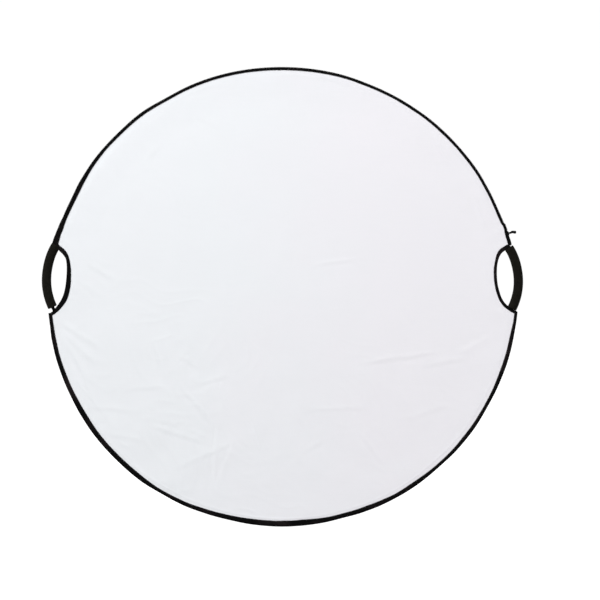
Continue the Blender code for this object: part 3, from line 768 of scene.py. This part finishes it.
def cloth_height(x, z, seed, creases):
    """How far a cover cloth lies from the middle: high over the hoop, lower inside it, and creased."""
    rim = rim_distance(x, z)
    hole = min(hole_distance(x, z, "left"), hole_distance(x, z, "right"))
    edge = min(rim, hole + 0.008)
    base = 0.0030 + 0.0014 * (1.0 - soft_step(edge, 0.008, 0.090))
    radius = math.hypot(x, z)
    angle = math.atan2(z, x)
    around = 0.5 + 0.5 * wave(math.cos(angle) * 1.6, math.sin(angle) * 1.6, 0.0, seed + 2.0)
    ridge = 0.00042 * math.exp(-(((rim - 0.0165) / 0.0020) ** 2)) * (0.35 + 0.9 * around)
    ridge *= soft_step(hole, 0.002, 0.02) * (0.15 + 0.85 * soft_step(-z, 0.0, 0.35))
    calm = soft_step(min(rim - 0.009, hole - 0.001), 0.0, 0.016)
    pucker = wave(math.cos(angle) * 26, math.sin(angle) * 26, radius * 9, seed)
    pucker = 0.00040 * pucker * math.exp(-max(rim, 0.0) / 0.055)
    low = (0.7 + 1.1 * soft_step(-z, -0.20, 0.42)) * (0.8 + 0.7 * soft_step(-x, -0.15, 0.30))
    swell = 0.00090 * wave(x * 4.2, 0.0, z * 4.2, seed + 5.0)
    ripple = 0.00038 * wave(x * 13 + 2 * wave(x * 5, 0, z * 5, 8.0), 0.0, z * 11, seed + 9.0)
    warp = 3.2 * wave(x * 7, 1.0, z * 7, seed + 4.0)
    crumple = 1.0 - abs(2.0 * wave(x * 16 + warp, 0.0, z * 12 - warp, seed + 7.0))
    crumple = 0.00018 * max(crumple, 0.0) ** 4
    folds = crease_height(x, z, creases)
    return base + ridge + calm * (pucker + swell + low * (ripple + crumple) + folds)


def in_metres(rows):
    return [tuple(MM * value for value in row) for row in rows]


def back_creases():
    """Other creases for the back cloth: every second one of the front's, mirrored and moved."""
    rows = []
    for x1, z1, x2, z2, width, height in CREASES[::2]:
        rows.append((-x1 * 0.9, z1 * 0.8 + 50, -x2 * 0.95, z2 * 0.9 + 20, width, height))
    return in_metres(rows)


def diffuser_height(x, z):
    return 0.00015 + 0.0003 * wave(x * 5, 0, z * 5, 60.0)


def make_cloths():
    outline = cloth_outline(CLOTH, (13.9, 165.9, 185.5, 355.0))
    creases = in_metres(CREASES)
    front = cloth_sheet(
        "front_cloth", outline, lambda x, z: cloth_height(x, z, 0.0, creases), [white, silver], CLOTH_THICK,
        folds=True)
    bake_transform(front)
    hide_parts("cover_front_field", "cover_front_flap")
    others = back_creases()
    back = cloth_sheet(
        "back_cloth", outline, lambda x, z: -cloth_height(x, z, 31.0, others), [black, gold], CLOTH_THICK, -1)
    dress(back, "disc", "black_cloth", "cover_back_panel")
    outline = cloth_outline(CORE, (15.5, 164.5, 187.5, 352.5), CORE_INSET, 6, False)
    core = cloth_sheet("diffuser_cloth", outline, diffuser_height, [sheer], 0.0003)
    dress(core, "disc", "diffuser_cloth", "diffuser_panel")


# ---------------------------------------------------------------- rim and tapes

def tape_wander(angle, seed):
    """How far a sewn tape's edge strays."""
    return 0.00045 * wave(angle * 0.35, 0.0, seed) + 0.00022 * wave(angle * 1.7, 4.0, seed)


def lower_binding_profile(angle):
    """The folded binding, its front leg painted lighter along its inner edge as a painted satin highlight."""
    leg = RIM - table_at(RIM_WIDTH["lower"], angle) + tape_wander(angle, 1.0)
    back = RIM - RIM_DEPTH + tape_wander(angle, 6.0)
    outer = RIM - 0.00012 + 0.00012 * wave(angle * 2.0, 0.0, 9.0)
    half = RIM_HALF + 0.00010 * wave(angle * 1.1, 3.0, 2.0)
    thick = 0.0006
    # Painted highlight: the band from the leg's edge to here takes the lighter binding look.
    highlight_edge = leg + 0.0022 + 0.0012 * wave(angle * 0.5, 0.0, 14.0)
    corners = [
        (leg, half), (highlight_edge, half), (outer, half), (outer, -half), (back, -half), (back, -half + thick),
        (outer - thick, -half + thick), (outer - thick, half - thick), (leg, half - thick),
    ]
    return rounded(corners, [0.00025, 0.0, 0.0030, 0.0030, 0.00025, 0.00025, 0.0024, 0.0024, 0.00025])


def zip_tape_profile(sign, angle):
    """One zip tape: a wall along the rim's edge and a leg in over the cloth."""
    leg = RIM - table_at(RIM_WIDTH["upper"], angle) + tape_wander(angle, 3.0 + sign)
    outer, half, thick = 0.5625, RIM_HALF, 0.0006
    corners = [
        (outer, thick), (outer, half), (leg, half), (leg, half - thick), (outer - thick, half - thick),
        (outer - thick, thick),
    ]
    profile = rounded(corners, [0.0002, 0.0012, 0.00025, 0.00025, 0.0007, 0.0002])
    return [(radius, sign * forward) for radius, forward in profile]


def end_tab_profile(angle, width):
    """The folded tab over a zip's end, a little fatter than the rim."""
    bulge = 0.0005 * math.sin(math.pi * min(max((angle - 14.2) / 2.4, 0.0), 1.0))
    return wrap_profile(RIM + bulge, RIM - width, 0.0055 + bulge * 0.6, 0.0007, 0.0026)


def make_rim():
    rows = rim_rows("lower", arc_angles(185.4, 355.0, 0.6), lower_binding_profile)
    # The first five faces of the front leg take the lighter binding, a painted highlight along its inner
    # edge.
    grid_piece("rim_binding_lower", rows, [binding, painted_highlight_binding], "disc", "binding", "cover_rim_binding_lower",
               inner=range(5))
    upper = arc_angles(ZIP_START - 0.1, 180 - ZIP_START + 0.1, 0.6)
    for name, sign, body in (("front", 1, "front_flap"), ("back", -1, "disc")):
        rows = rim_rows("upper", upper, lambda angle: zip_tape_profile(sign, angle))
        grid_piece("zip_cloth_" + name, rows, [zip_cloth], body, "zip_cloth", "zip_tape_" + name)
    for name, flip, start, width in (("right", False, 14.2, 0.0087), ("left", True, 13.9, 0.0142)):
        span = arc_angles(start, 16.5, 0.15)
        span = [180 - angle for angle in span] if flip else span
        rows = rim_rows("upper", span, lambda angle: end_tab_profile(180 - angle if flip else angle, width))
        grid_piece("zip_tab_" + name, rows, [binding], "disc", "binding", "zip_end_tab_" + name)


def channel_profile(angle):
    """The diffuser's folded tape, which holds the hoop in its channel and the sheet between its legs."""
    lip = 0.5420 + tape_wander(angle, 12.0)
    outside = [(0.5562, 0.0030), (0.5553, 0.0037), (0.5530, 0.0036), (0.5500, 0.0014)]
    outside += [(0.5470, 0.00105), (lip, 0.0010)]
    inside = [(lip, 0.00055), (0.5470, 0.00060), (0.5502, 0.00085), (0.5530, 0.0030)]
    inside += [(0.5550, 0.0031), (0.5556, 0.0027)]
    return mirrored(outside + inside)


def make_core_tapes():
    for part, start, end in (("upper", 15.0, 165.0), ("lower", 186.0, 354.0)):
        rows = rim_rows(part, arc_angles(start, end, 1.0), channel_profile, wander=False)
        grid_piece("core_channel_" + part, rows, [core_tape], "disc", "binding", "diffuser_rim_tape_" + part)
    corners = mirrored([(-0.0008, 0.0010), (0.0080, 0.0010), (0.0080, 0.00055), (-0.0003, 0.00055)])
    profile = rounded(corners, [0.0006] + [0.0002] * 6 + [0.0006])
    for side in SIDES:
        near, _ = hole_tape_points(side, 60, CORE_INSET)
        points = [handle_xz(u, v, side) for u, v in near[12:-12]]
        rows = path_rows(with_normals(points, SIDES[side]), lambda n: profile)
        node = "diffuser_cutout_tape_" + side
        grid_piece("core_cutout_" + side, rows, [core_tape], "disc", "binding", node)


def cutout_rows(side, sign):
    """One cloth's folded tape round a hand hole, from the hole's edge to the tape's edge on the cloth."""
    count = 112
    near, far = hole_tape_points(side, count)
    rows = []
    for n, (a, b) in enumerate(zip(near, far)):
        settle = soft_step(abs(2 * n / count - 1), 0.82, 1.0)
        across = b - a
        width = float(np.linalg.norm(across))
        across /= width
        gather = 0.00022 * wave(n * 0.55, sign * 2.0, 0.0, 40.0 + SIDES[side])
        width += 0.0003 * wave(n * 0.21, sign, 0.0, 44.0)
        front = 0.0053 - 0.00030 * settle + gather
        low = 0.0041 - 0.0004 * settle
        skin = 0.00055
        corners = [
            (-0.0004, front), (width, front - 0.0002), (width, front - 0.0002 - skin), (0.0006, front - skin),
            (0.0006, low), (width * 0.9, low), (width * 0.9, low - skin), (-0.0004, low - skin),
        ]
        profile = rounded(corners, [0.0011, 0.0002, 0.0002, 0.0004, 0.0004, 0.0002, 0.0002, 0.0011])
        row = []
        for distance, forward in profile:
            u, v = a + across * distance
            x, z = handle_xz(u, v, side)
            row.append((x, -forward * sign, z))
        rows.append(row)
    return rows


def make_cutout_tapes():
    for side in SIDES:
        for name, sign in (("front", 1), ("back", -1)):
            node = "cover_%s_cutout_tape_%s" % (name, side)
            rows = cutout_rows(side, sign)
            grid_piece("cutout_tape_%s_%s" % (name, side), rows, [binding], "disc", "binding", node)


def rim_stitch_places(part, forward):
    """Stitches along the rim, inset from the inner edge of the tape on the side that forward gives."""
    pitch = 0.0031
    start, end, inset = (186, 354, 0.0019) if part == "lower" else (17, 163, 0.0014)
    places = []
    count = int(math.radians(end - start) * RIM / pitch)
    for n in range(count):
        angle = start + (end - start) * (n + 0.5) / count
        c, s = polar(angle)
        back = part == "lower" and forward < 0
        width = RIM_DEPTH if back else table_at(RIM_WIDTH[part], angle)
        x, z = rim_xz(part, RIM - width + inset, angle)
        places.append(((x, -forward, z), (-s, 0.0, c), (0.0, -math.copysign(1, forward), 0.0)))
    return places


def cutout_stitch_places(side, sign):
    near, far = hole_tape_points(side, 64)
    middle = 0.28 * near + 0.72 * far
    points = [handle_xz(u, v, side) for u, v in middle[2:-2]]
    places = []
    for before, after in zip(points, points[1:]):
        along = (after[0] - before[0], 0.0, after[1] - before[1])
        centre = ((before[0] + after[0]) / 2, -0.00512 * sign, (before[1] + after[1]) / 2)
        places.append((centre, along, (0.0, -sign, 0.0)))
    return places


def make_stitching():
    disc = rim_stitch_places("lower", RIM_HALF)
    disc += rim_stitch_places("lower", -RIM_HALF)
    disc += rim_stitch_places("upper", -RIM_HALF)
    for side in SIDES:
        for sign in (1, -1):
            disc += cutout_stitch_places(side, sign)
    dress(stitches("edge_stitching", disc, thread), "disc", "binding")
    flap = rim_stitch_places("upper", RIM_HALF)
    dress(stitches("flap_stitching", flap, thread), "front_flap", "zip_cloth")


# ---------------------------------------------------------------- zip

def coil_rows(sign, phase):
    """One half of the zip's coil: a flattened helix along the upper arc, its heads at the middle."""
    pitch, wire, steps, sides = 0.00150, 0.00023, 8, 5
    coil, deep = 0.56348, 0.00108  # where the helix's middle line is: out and forward
    half_wide, half_deep = 0.00052, 0.00105
    start, end = math.radians(ZIP_START + 0.05), math.radians(180 - ZIP_START - 0.05)
    turns = int((end - start) * coil / pitch)
    total = turns * steps
    n = np.arange(total + 1)
    round_ = 2 * np.pi * (n / steps + phase)
    angle = start + (end - start) * n / total
    wander = np.array([table_at(RIM_WANDER["upper"], a) for a in np.degrees(angle)])
    middle_radius = coil + wander
    radius = middle_radius + half_wide * np.sin(round_)
    forward = sign * (deep - half_deep * np.cos(round_))
    centre = np.stack([radius * np.cos(angle), -forward, radius * np.sin(angle) - SHIFT], axis=1)
    along = np.gradient(centre, axis=0)
    along /= np.linalg.norm(along, axis=1)[:, None]
    middle_y = np.full_like(angle, -sign * deep)
    middle = [middle_radius * np.cos(angle), middle_y, middle_radius * np.sin(angle) - SHIFT]
    out = centre - np.stack(middle, axis=1)
    out -= (out * along).sum(1)[:, None] * along
    out /= np.linalg.norm(out, axis=1)[:, None]
    side = np.cross(along, out)
    rows = []
    for k in range(sides):
        turn = 2 * math.pi * k / sides
        rows.append(centre + wire * (math.cos(turn) * out + math.sin(turn) * side))
    return np.stack(rows, axis=1)


def make_zip():
    for name, sign, phase, body in (("front", 1, 0.0, "front_flap"), ("back", -1, 0.5, "disc")):
        rows = coil_rows(sign, phase)
        grid_piece("zip_teeth_" + name, rows, [nylon], body, "zip_nylon", "zip_coil_" + name)
    profile = rounded(mirrored([(0.5627, 0.0024), (0.5644, 0.0024)]), [0.0007] * 4)
    for name, start in (("zip_end_stop", 16.3), ("zip_start_stop", 163.42)):
        rows = rim_rows("upper", arc_angles(start, start + 0.28, 0.07), lambda angle: profile)
        grid_piece(name + "_clip", rows, [zinc], "disc", "zip_metal", name)


def rim_frame(radius, angle):
    """A point of the upper arc and the directions out of it and along it."""
    c, s = polar(angle)
    return Vector((radius * c, 0.0, radius * s - SHIFT)), Vector((c, 0.0, s)), Vector((-s, 0.0, c))


def plate_mesh(work, origin, out, along, low, high, half_nose, half_tail, length, bevel):
    """A plate wide at its nose and narrower at its tail, with rounded corners, between two heights."""
    side = [(-length / 2, half_tail), (-length * 0.05, half_tail * 1.02)]
    side += [(length * 0.18, half_nose), (length / 2, half_nose)]
    outline = rounded(mirrored(side), [0.0012, 0.0008, 0.0010, 0.0014, 0.0014, 0.0010, 0.0008, 0.0012], 5)
    rings = []
    for height, inset in ((low, bevel), (low + bevel, 0.0), (high - bevel, 0.0), (high, bevel)):
        ring = []
        for t, y in outline:
            shrink_t = t - math.copysign(inset, t)
            shrink_y = y - math.copysign(inset, y)
            ring.append(work.verts.new(origin + out * height + along * shrink_t + Vector((0, shrink_y, 0))))
        rings.append(ring)
    skin_rings(work, rings)


def box_mesh(work, origin, out, along, lows, highs):
    """A box between two corners, each given as (out, y, along)."""
    corners = []
    for a in (lows[0], highs[0]):
        for b in (lows[1], highs[1]):
            for c in (lows[2], highs[2]):
                corners.append(work.verts.new(origin + out * a + Vector((0, b, 0)) + along * c))
    for quad in ((0, 1, 3, 2), (4, 6, 7, 5), (0, 4, 5, 1), (2, 3, 7, 6), (0, 2, 6, 4), (1, 5, 7, 3)):
        work.faces.new([corners[n] for n in quad])


def arch_rings(work, origin, out, along):
    """The slider's bridge, which the pull's pin passes under: a flat bar bent into a half oval."""
    half, base, height, steps = 0.0021, 0.0012, 0.0033, 14
    bar = rounded(mirrored([(-0.0004, -0.0010), (0.0005, -0.0010)]), [0.0003] * 4, 3)
    rings = []
    for n in range(steps + 1):
        turn = math.pi * n / steps
        outward = out * math.sin(turn) - along * math.cos(turn)
        centre = origin + out * (base + height * math.sin(turn) ** 0.55) - along * (half * math.cos(turn))
        rings.append([work.verts.new(centre + outward * a + Vector((0, b, 0))) for a, b in bar])
    return rings


def make_slider():
    """Two plates held apart by a post, a guide flange down each side, and a bridge on top."""
    seat = rim_frame(RIM + SLIDER_LIFT, SLIDER_ANGLE)
    mesh = bpy.data.meshes.new("zip_slider_body")
    work = bmesh.new()
    top = dict(low=0.00038, high=0.00150, half_nose=0.0036, half_tail=0.0034, length=0.0112, bevel=0.00028)
    base = dict(low=-0.0039, high=-0.0031, half_nose=0.0035, half_tail=0.0027, length=0.0108, bevel=0.0002)
    plate_mesh(work, *seat, **top)
    for low in (-0.0035, 0.0029):
        box_mesh(work, *seat, (-0.0015, low, -0.0046), (0.0009, low + 0.0006, 0.0048))
    plate_mesh(work, *seat, **base)
    box_mesh(work, *seat, (-0.0033, -0.0003, 0.0026), (0.0006, 0.0003, 0.0052))
    skin_rings(work, arch_rings(work, *seat))
    bmesh.ops.recalc_face_normals(work, faces=work.faces)
    work.to_mesh(mesh)
    work.free()
    mesh.materials.append(zinc)
    mesh.shade_smooth()
    mesh.set_sharp_from_angle(angle=math.radians(40))
    dress(new_object("zip_slider_body", mesh), "zip_slider", "zip_metal", "zip_slider")


def tongue_rows(origin, out, along):
    """The pull's ribbed tongue: it arches up, droops and swells towards its rounded tip."""
    depth = Vector((0, 1, 0))
    length, arch, droop = 0.0140, 0.0014, 0.0022
    rows = []
    for n in range(41):
        t = n / 40
        phase = math.pi * min(0.15 + t, 1.0)
        rise = arch * math.sin(phase) ** 2 - droop * t**2 - 0.0009
        slope = (arch * math.pi * math.sin(2 * phase) - 2 * droop * t) / length
        tip = math.sqrt(max(1.0 - ((t - 0.84) / 0.16) ** 2, 0.02)) if t > 0.84 else 1.0
        root = math.sqrt(max(1.0 - ((0.10 - t) / 0.10) ** 2, 0.05)) if t < 0.10 else 1.0
        swell = (0.84 + 0.20 * soft_step(t, 0.05, 0.45) + 0.14 * soft_step(t, 0.45, 0.85)) * tip * root
        rib = 0.00012 * math.cos(t * 2 * math.pi * 9) if 0.3 < t < 0.85 else 0.0
        up = (along - out * slope).normalized()
        centre = origin + out * (0.0026 + length * t) + along * rise
        rows.append(oval(centre, up, depth, 0.00300 * swell + rib, 0.0034 * swell, 20, 0.6))
    return rows


def cheek_rows(origin, out, along):
    """A flat cheek of the pull, round at its pin end."""
    rows = []
    for n in range(17):
        t = n / 16
        half = 0.0023 * math.sqrt(max(1.0 - ((0.42 - t) / 0.42) ** 2, 0.03)) if t < 0.42 else 0.0023
        centre = origin + out * (0.0056 * t - 0.0009) - along * (0.0006 * t)
        rows.append(oval(centre, along, Vector((0, 1, 0)), half, 0.0005, 18))
    return rows


def make_pull():
    """A soft moulded pull: two cheeks on a pin under the slider's bridge, and a ribbed tongue."""
    origin, out, along = rim_frame(PULL_AXIS + SLIDER_LIFT, SLIDER_ANGLE)
    rows = tongue_rows(origin, out, along)
    grid_piece("zip_pull_tongue", rows, [rubber], "zip_pull", "pull_rubber", "zip_pull")
    for place, y in (("front", -0.0018), ("back", 0.0018)):
        rows = cheek_rows(origin + Vector((0, y, 0)), out, along)
        grid_piece("zip_pull_cheek_" + place, rows, [rubber], "zip_pull", "pull_rubber")
    rows = []
    for y in (-0.0021, -0.0020, -0.0010, 0.0, 0.0010, 0.0020, 0.0021):
        radius = 0.0007 if abs(y) < 0.00205 else 0.0005
        rows.append(oval(origin + out * 0.0001 + Vector((0, y, 0)), out, along, radius, radius, 12))
    grid_piece("zip_pull_pin", rows, [zinc], "zip_pull", "zip_metal")


# ---------------------------------------------------------------- hoop and grips

def bridge(start, leaving, end, arriving):
    """A smooth run between two points, with the direction at each end."""
    count = 14
    p, q = np.array(start), np.array(end)
    reach = 0.75 * float(np.linalg.norm(q - p))
    a, b = np.array(leaving) * reach, np.array(arriving) * reach
    found = []
    for n in range(1, count):
        t = n / count
        share = 3 * t**2 - 2 * t**3
        found.append(tuple((1 - share) * p + share * q + (t**3 - 2 * t**2 + t) * a + (t**3 - t**2) * b))
    return found


def heading(angle):
    """The direction along an arc, going up on the right."""
    c, s = polar(angle)
    return -s, c


def grip_xz(side, angle, out=0.0):
    """A point of a grip's bend as if on the right, out being its distance outside the centre line."""
    x, z, bend, _, high = GRIP_ARC[side]
    radius = bend + out + GRIP_FLARE * soft_step(angle, 8.0, high)
    c, s = polar(angle)
    return x + radius * c, z + radius * s


def handle_path(side):
    """The hoop's centre line past a handle, as if on the right, going up: rim, bridge, grip, bridge, rim."""
    low, high = GRIP_ARC[side][3] - 2.0, GRIP_ARC[side][4] + 2.0
    grip = [grip_xz(side, angle) for angle in arc_angles(low, high, 1.2)]
    below, above = rim_xz("lower", HOOP, -HOOP_FOOT, False), rim_xz("upper", HOOP, HOOP_TOP, False)
    first = bridge(below, heading(-HOOP_FOOT), grip[0], heading(low))
    last = bridge(grip[-1], heading(high), above, heading(HOOP_TOP))
    return [below] + first + grip + last + [above]


def bar_profile(half_across, half_forward, radius, segments):
    corners = mirrored([(-half_across, -half_forward), (half_across, -half_forward)])
    return rounded(corners, [radius] * 4, segments)


def cloth_tube_profile(n):
    """A round section of the cloth tube, loose by a different amount at each step n of the hoop."""
    points = []
    for k in range(24):
        turn = 2 * math.pi * k / 24
        loose = 0.0002 * wave(n * 0.4, turn * 3, 0.0, 70.0)
        points.append(((TUBE_RADIUS + loose) * math.cos(turn), TUBE_RADIUS * math.sin(turn)))
    return points


def make_hoop():
    right = handle_path("right")
    left = [(-x, z) for x, z in handle_path("left")[::-1]]
    arc = arc_angles(HOOP_TOP, 180 - HOOP_TOP, 1.0)[1:-1]
    over = [rim_xz("upper", HOOP, angle, False) for angle in arc]
    arc = arc_angles(180 + HOOP_FOOT, 360 - HOOP_FOOT, 1.0)[1:-1]
    under = [rim_xz("lower", HOOP, angle, False) for angle in arc]
    loop = right + over + left + under
    path = with_normals([loop[-1]] + loop + [loop[0]])[1:-1]
    section = bar_profile(half_across=0.0005, half_forward=0.0025, radius=0.0002, segments=2)
    rows = path_rows(path, lambda n: section)
    grid_piece("hoop_spring", rows, [steel], "disc", "spring_steel", "hoop_band", looped=True)
    middle = sum(GRIP_ARC["right"][3:]) / 2
    crimp = [grip_xz("right", angle) for angle in arc_angles(middle - 4.8, middle + 4.8, 0.6)]
    shell = bar_profile(half_across=0.0012, half_forward=0.0032, radius=0.0006, segments=3)
    rows = path_rows(with_normals(crimp), lambda n: shell)
    grid_piece("hoop_crimp", rows, [zinc], "disc", "zip_metal", "hoop_ferrule")
    for side, points in (("right", right), ("left", left)):
        rows = path_rows(with_normals(points), cloth_tube_profile)
        grid_piece("hoop_cloth_tube_" + side, rows, [tube_cloth], "disc", "tube_cloth", "hoop_tube_" + side)


def tube_rows(side, profile, ring):
    """Lines along a grip's bend, one for each step round it. profile is a closed list of (share of the half
    angle, radius), and its outside points, beyond 9 mm, get the foam's unevenness."""
    low, high = GRIP_ARC[side][3:]
    middle, half = (high + low) / 2, (high - low) / 2
    rows = []
    for k in range(ring):
        turn = 2 * math.pi * k / ring
        row = []
        for share, radius in profile:
            r = radius
            if radius > 0.009:
                c, s = math.cos(turn), math.sin(turn)
                r *= 1.0 + 0.012 * wave(share * 5, c * 1.5, s * 1.5, 80.0 + SIDES[side])
                r += 0.00016 * wave(share * 60, c * 9, s * 9, 90.0)
            x, z = grip_xz(side, middle + half * share, r * math.cos(turn))
            row.append((SIDES[side] * x, -r * math.sin(turn), z))
        rows.append(row)
    return rows


def sleeve_profile():
    """The foam sleeve's closed outline: its outside with tucked ends, an end face, the bore, and back."""
    bore = 0.0075
    profile = []
    for n in range(91):
        t = 2 * n / 90 - 1
        tuck = 0.00075 * (1.0 - math.sqrt(max(1.0 - max(abs(t) - 0.975, 0.0) ** 2 / 0.025**2, 0.0)))
        profile.append((t, GRIP_RADIUS - tuck))
    for n in range(5):
        profile.append((1.0, GRIP_RADIUS - 0.0012 - 0.0022 * n / 4))
    for n in range(9):
        profile.append((0.996 - 1.992 * n / 8, bore))
    for n in range(5):
        profile.append((-1.0, GRIP_RADIUS - 0.0034 + 0.0022 * n / 4))
    return profile


def liner_profile():
    outside, inside = 0.0072, 0.0062
    shares = [-0.985 + 1.97 * n / 30 for n in range(31)]
    return [(share, outside) for share in shares] + [(-share, inside) for share in shares]


def make_grips():
    for side in SIDES:
        body = side + "_grip"
        for name, node, look, profile, ring in (
            ("grip_foam", "grip_sleeve_", foam, sleeve_profile(), 56),
            ("grip_lining", "grip_liner_", lining, liner_profile(), 32),
        ):
            rows = tube_rows(side, profile, ring)
            grid_piece(name + "_" + side, rows, [look], body, name, node + side, looped=True)


# ---------------------------------------------------------------- stage

def camera_share(tree, others, camera, target):
    """Sets an input to one value for what the camera sees directly and another for all other light."""
    ray = tree.nodes.new("ShaderNodeLightPath")
    mix = tree.nodes.new("ShaderNodeMix")
    mix.inputs["A"].default_value = others
    mix.inputs["B"].default_value = camera
    tree.links.new(ray.outputs["Is Camera Ray"], mix.inputs["Factor"])
    tree.links.new(mix.outputs["Result"], target)


def make_floor():
    mesh = bpy.data.meshes.new("floor")
    work = bmesh.new()
    bmesh.ops.create_circle(work, cap_ends=True, segments=96, radius=40.0)
    work.to_mesh(mesh)
    work.free()
    floor = new_object("floor", mesh)
    floor.location.z = cad_box[0][2] - 0.0006
    material = bpy.data.materials.new("floor_look")
    material.use_nodes = True
    shader = material.node_tree.nodes["Principled BSDF"]
    shader.inputs["Base Color"].default_value = (0.35, 0.35, 0.35, 1.0)
    shader.inputs["Roughness"].default_value = 0.9
    shader.inputs["Specular IOR Level"].default_value = 0.1
    shader.inputs["Emission Color"].default_value = (1.0, 1.0, 1.0, 1.0)
    camera_share(material.node_tree, 0.15, 1.0, shader.inputs["Emission Strength"])
    mesh.materials.append(material)


def make_world():
    world = bpy.data.worlds.new("studio")
    bpy.context.scene.world = world
    world.use_nodes = True
    background = world.node_tree.nodes["Background"]
    background.inputs["Color"].default_value = (1.0, 1.0, 1.0, 1.0)
    camera_share(world.node_tree, 0.44, 1.02, background.inputs["Strength"])


def area_light(name, place, size, power, colour=(1, 1, 1)):
    """A round lamp aimed at the object's centre."""
    data = bpy.data.lights.new(name, "AREA")
    data.shape = "DISK"
    data.size = size
    data.energy = power
    data.color = colour
    light = new_object(name, data)
    light.location = place
    light.rotation_euler = (-Vector(place)).to_track_quat("-Z", "Y").to_euler()


def make_lights():
    area_light("key", (-2.4, -3.4, 4.4), 1.4, 300.0)
    area_light("fill", (3.0, -3.6, 0.6), 2.2, 30.0, (0.98, 0.97, 1.0))
    area_light("back", (1.0, 3.4, 2.4), 2.2, 26.0)


def make_camera():
    """Square on to the front, at a distance where the view is 1.4364 m wide at the disc."""
    distance, view_width, sensor = 5.0, 1.4364, 36.0
    data = bpy.data.cameras.new("camera")
    data.sensor_width = sensor
    data.lens = sensor * distance / view_width
    camera = new_object("camera", data)
    camera.location = (0.04328, -distance, -0.00723)
    camera.rotation_euler = (math.pi / 2, 0.0, 0.0)
    bpy.context.scene.camera = camera
    bpy.context.scene.view_settings.view_transform = "Standard"


make_cloths()
make_rim()
make_core_tapes()
make_cutout_tapes()
make_stitching()
make_zip()
make_slider()
make_pull()
make_hoop()
make_grips()
make_floor()
make_world()
make_lights()
make_camera()
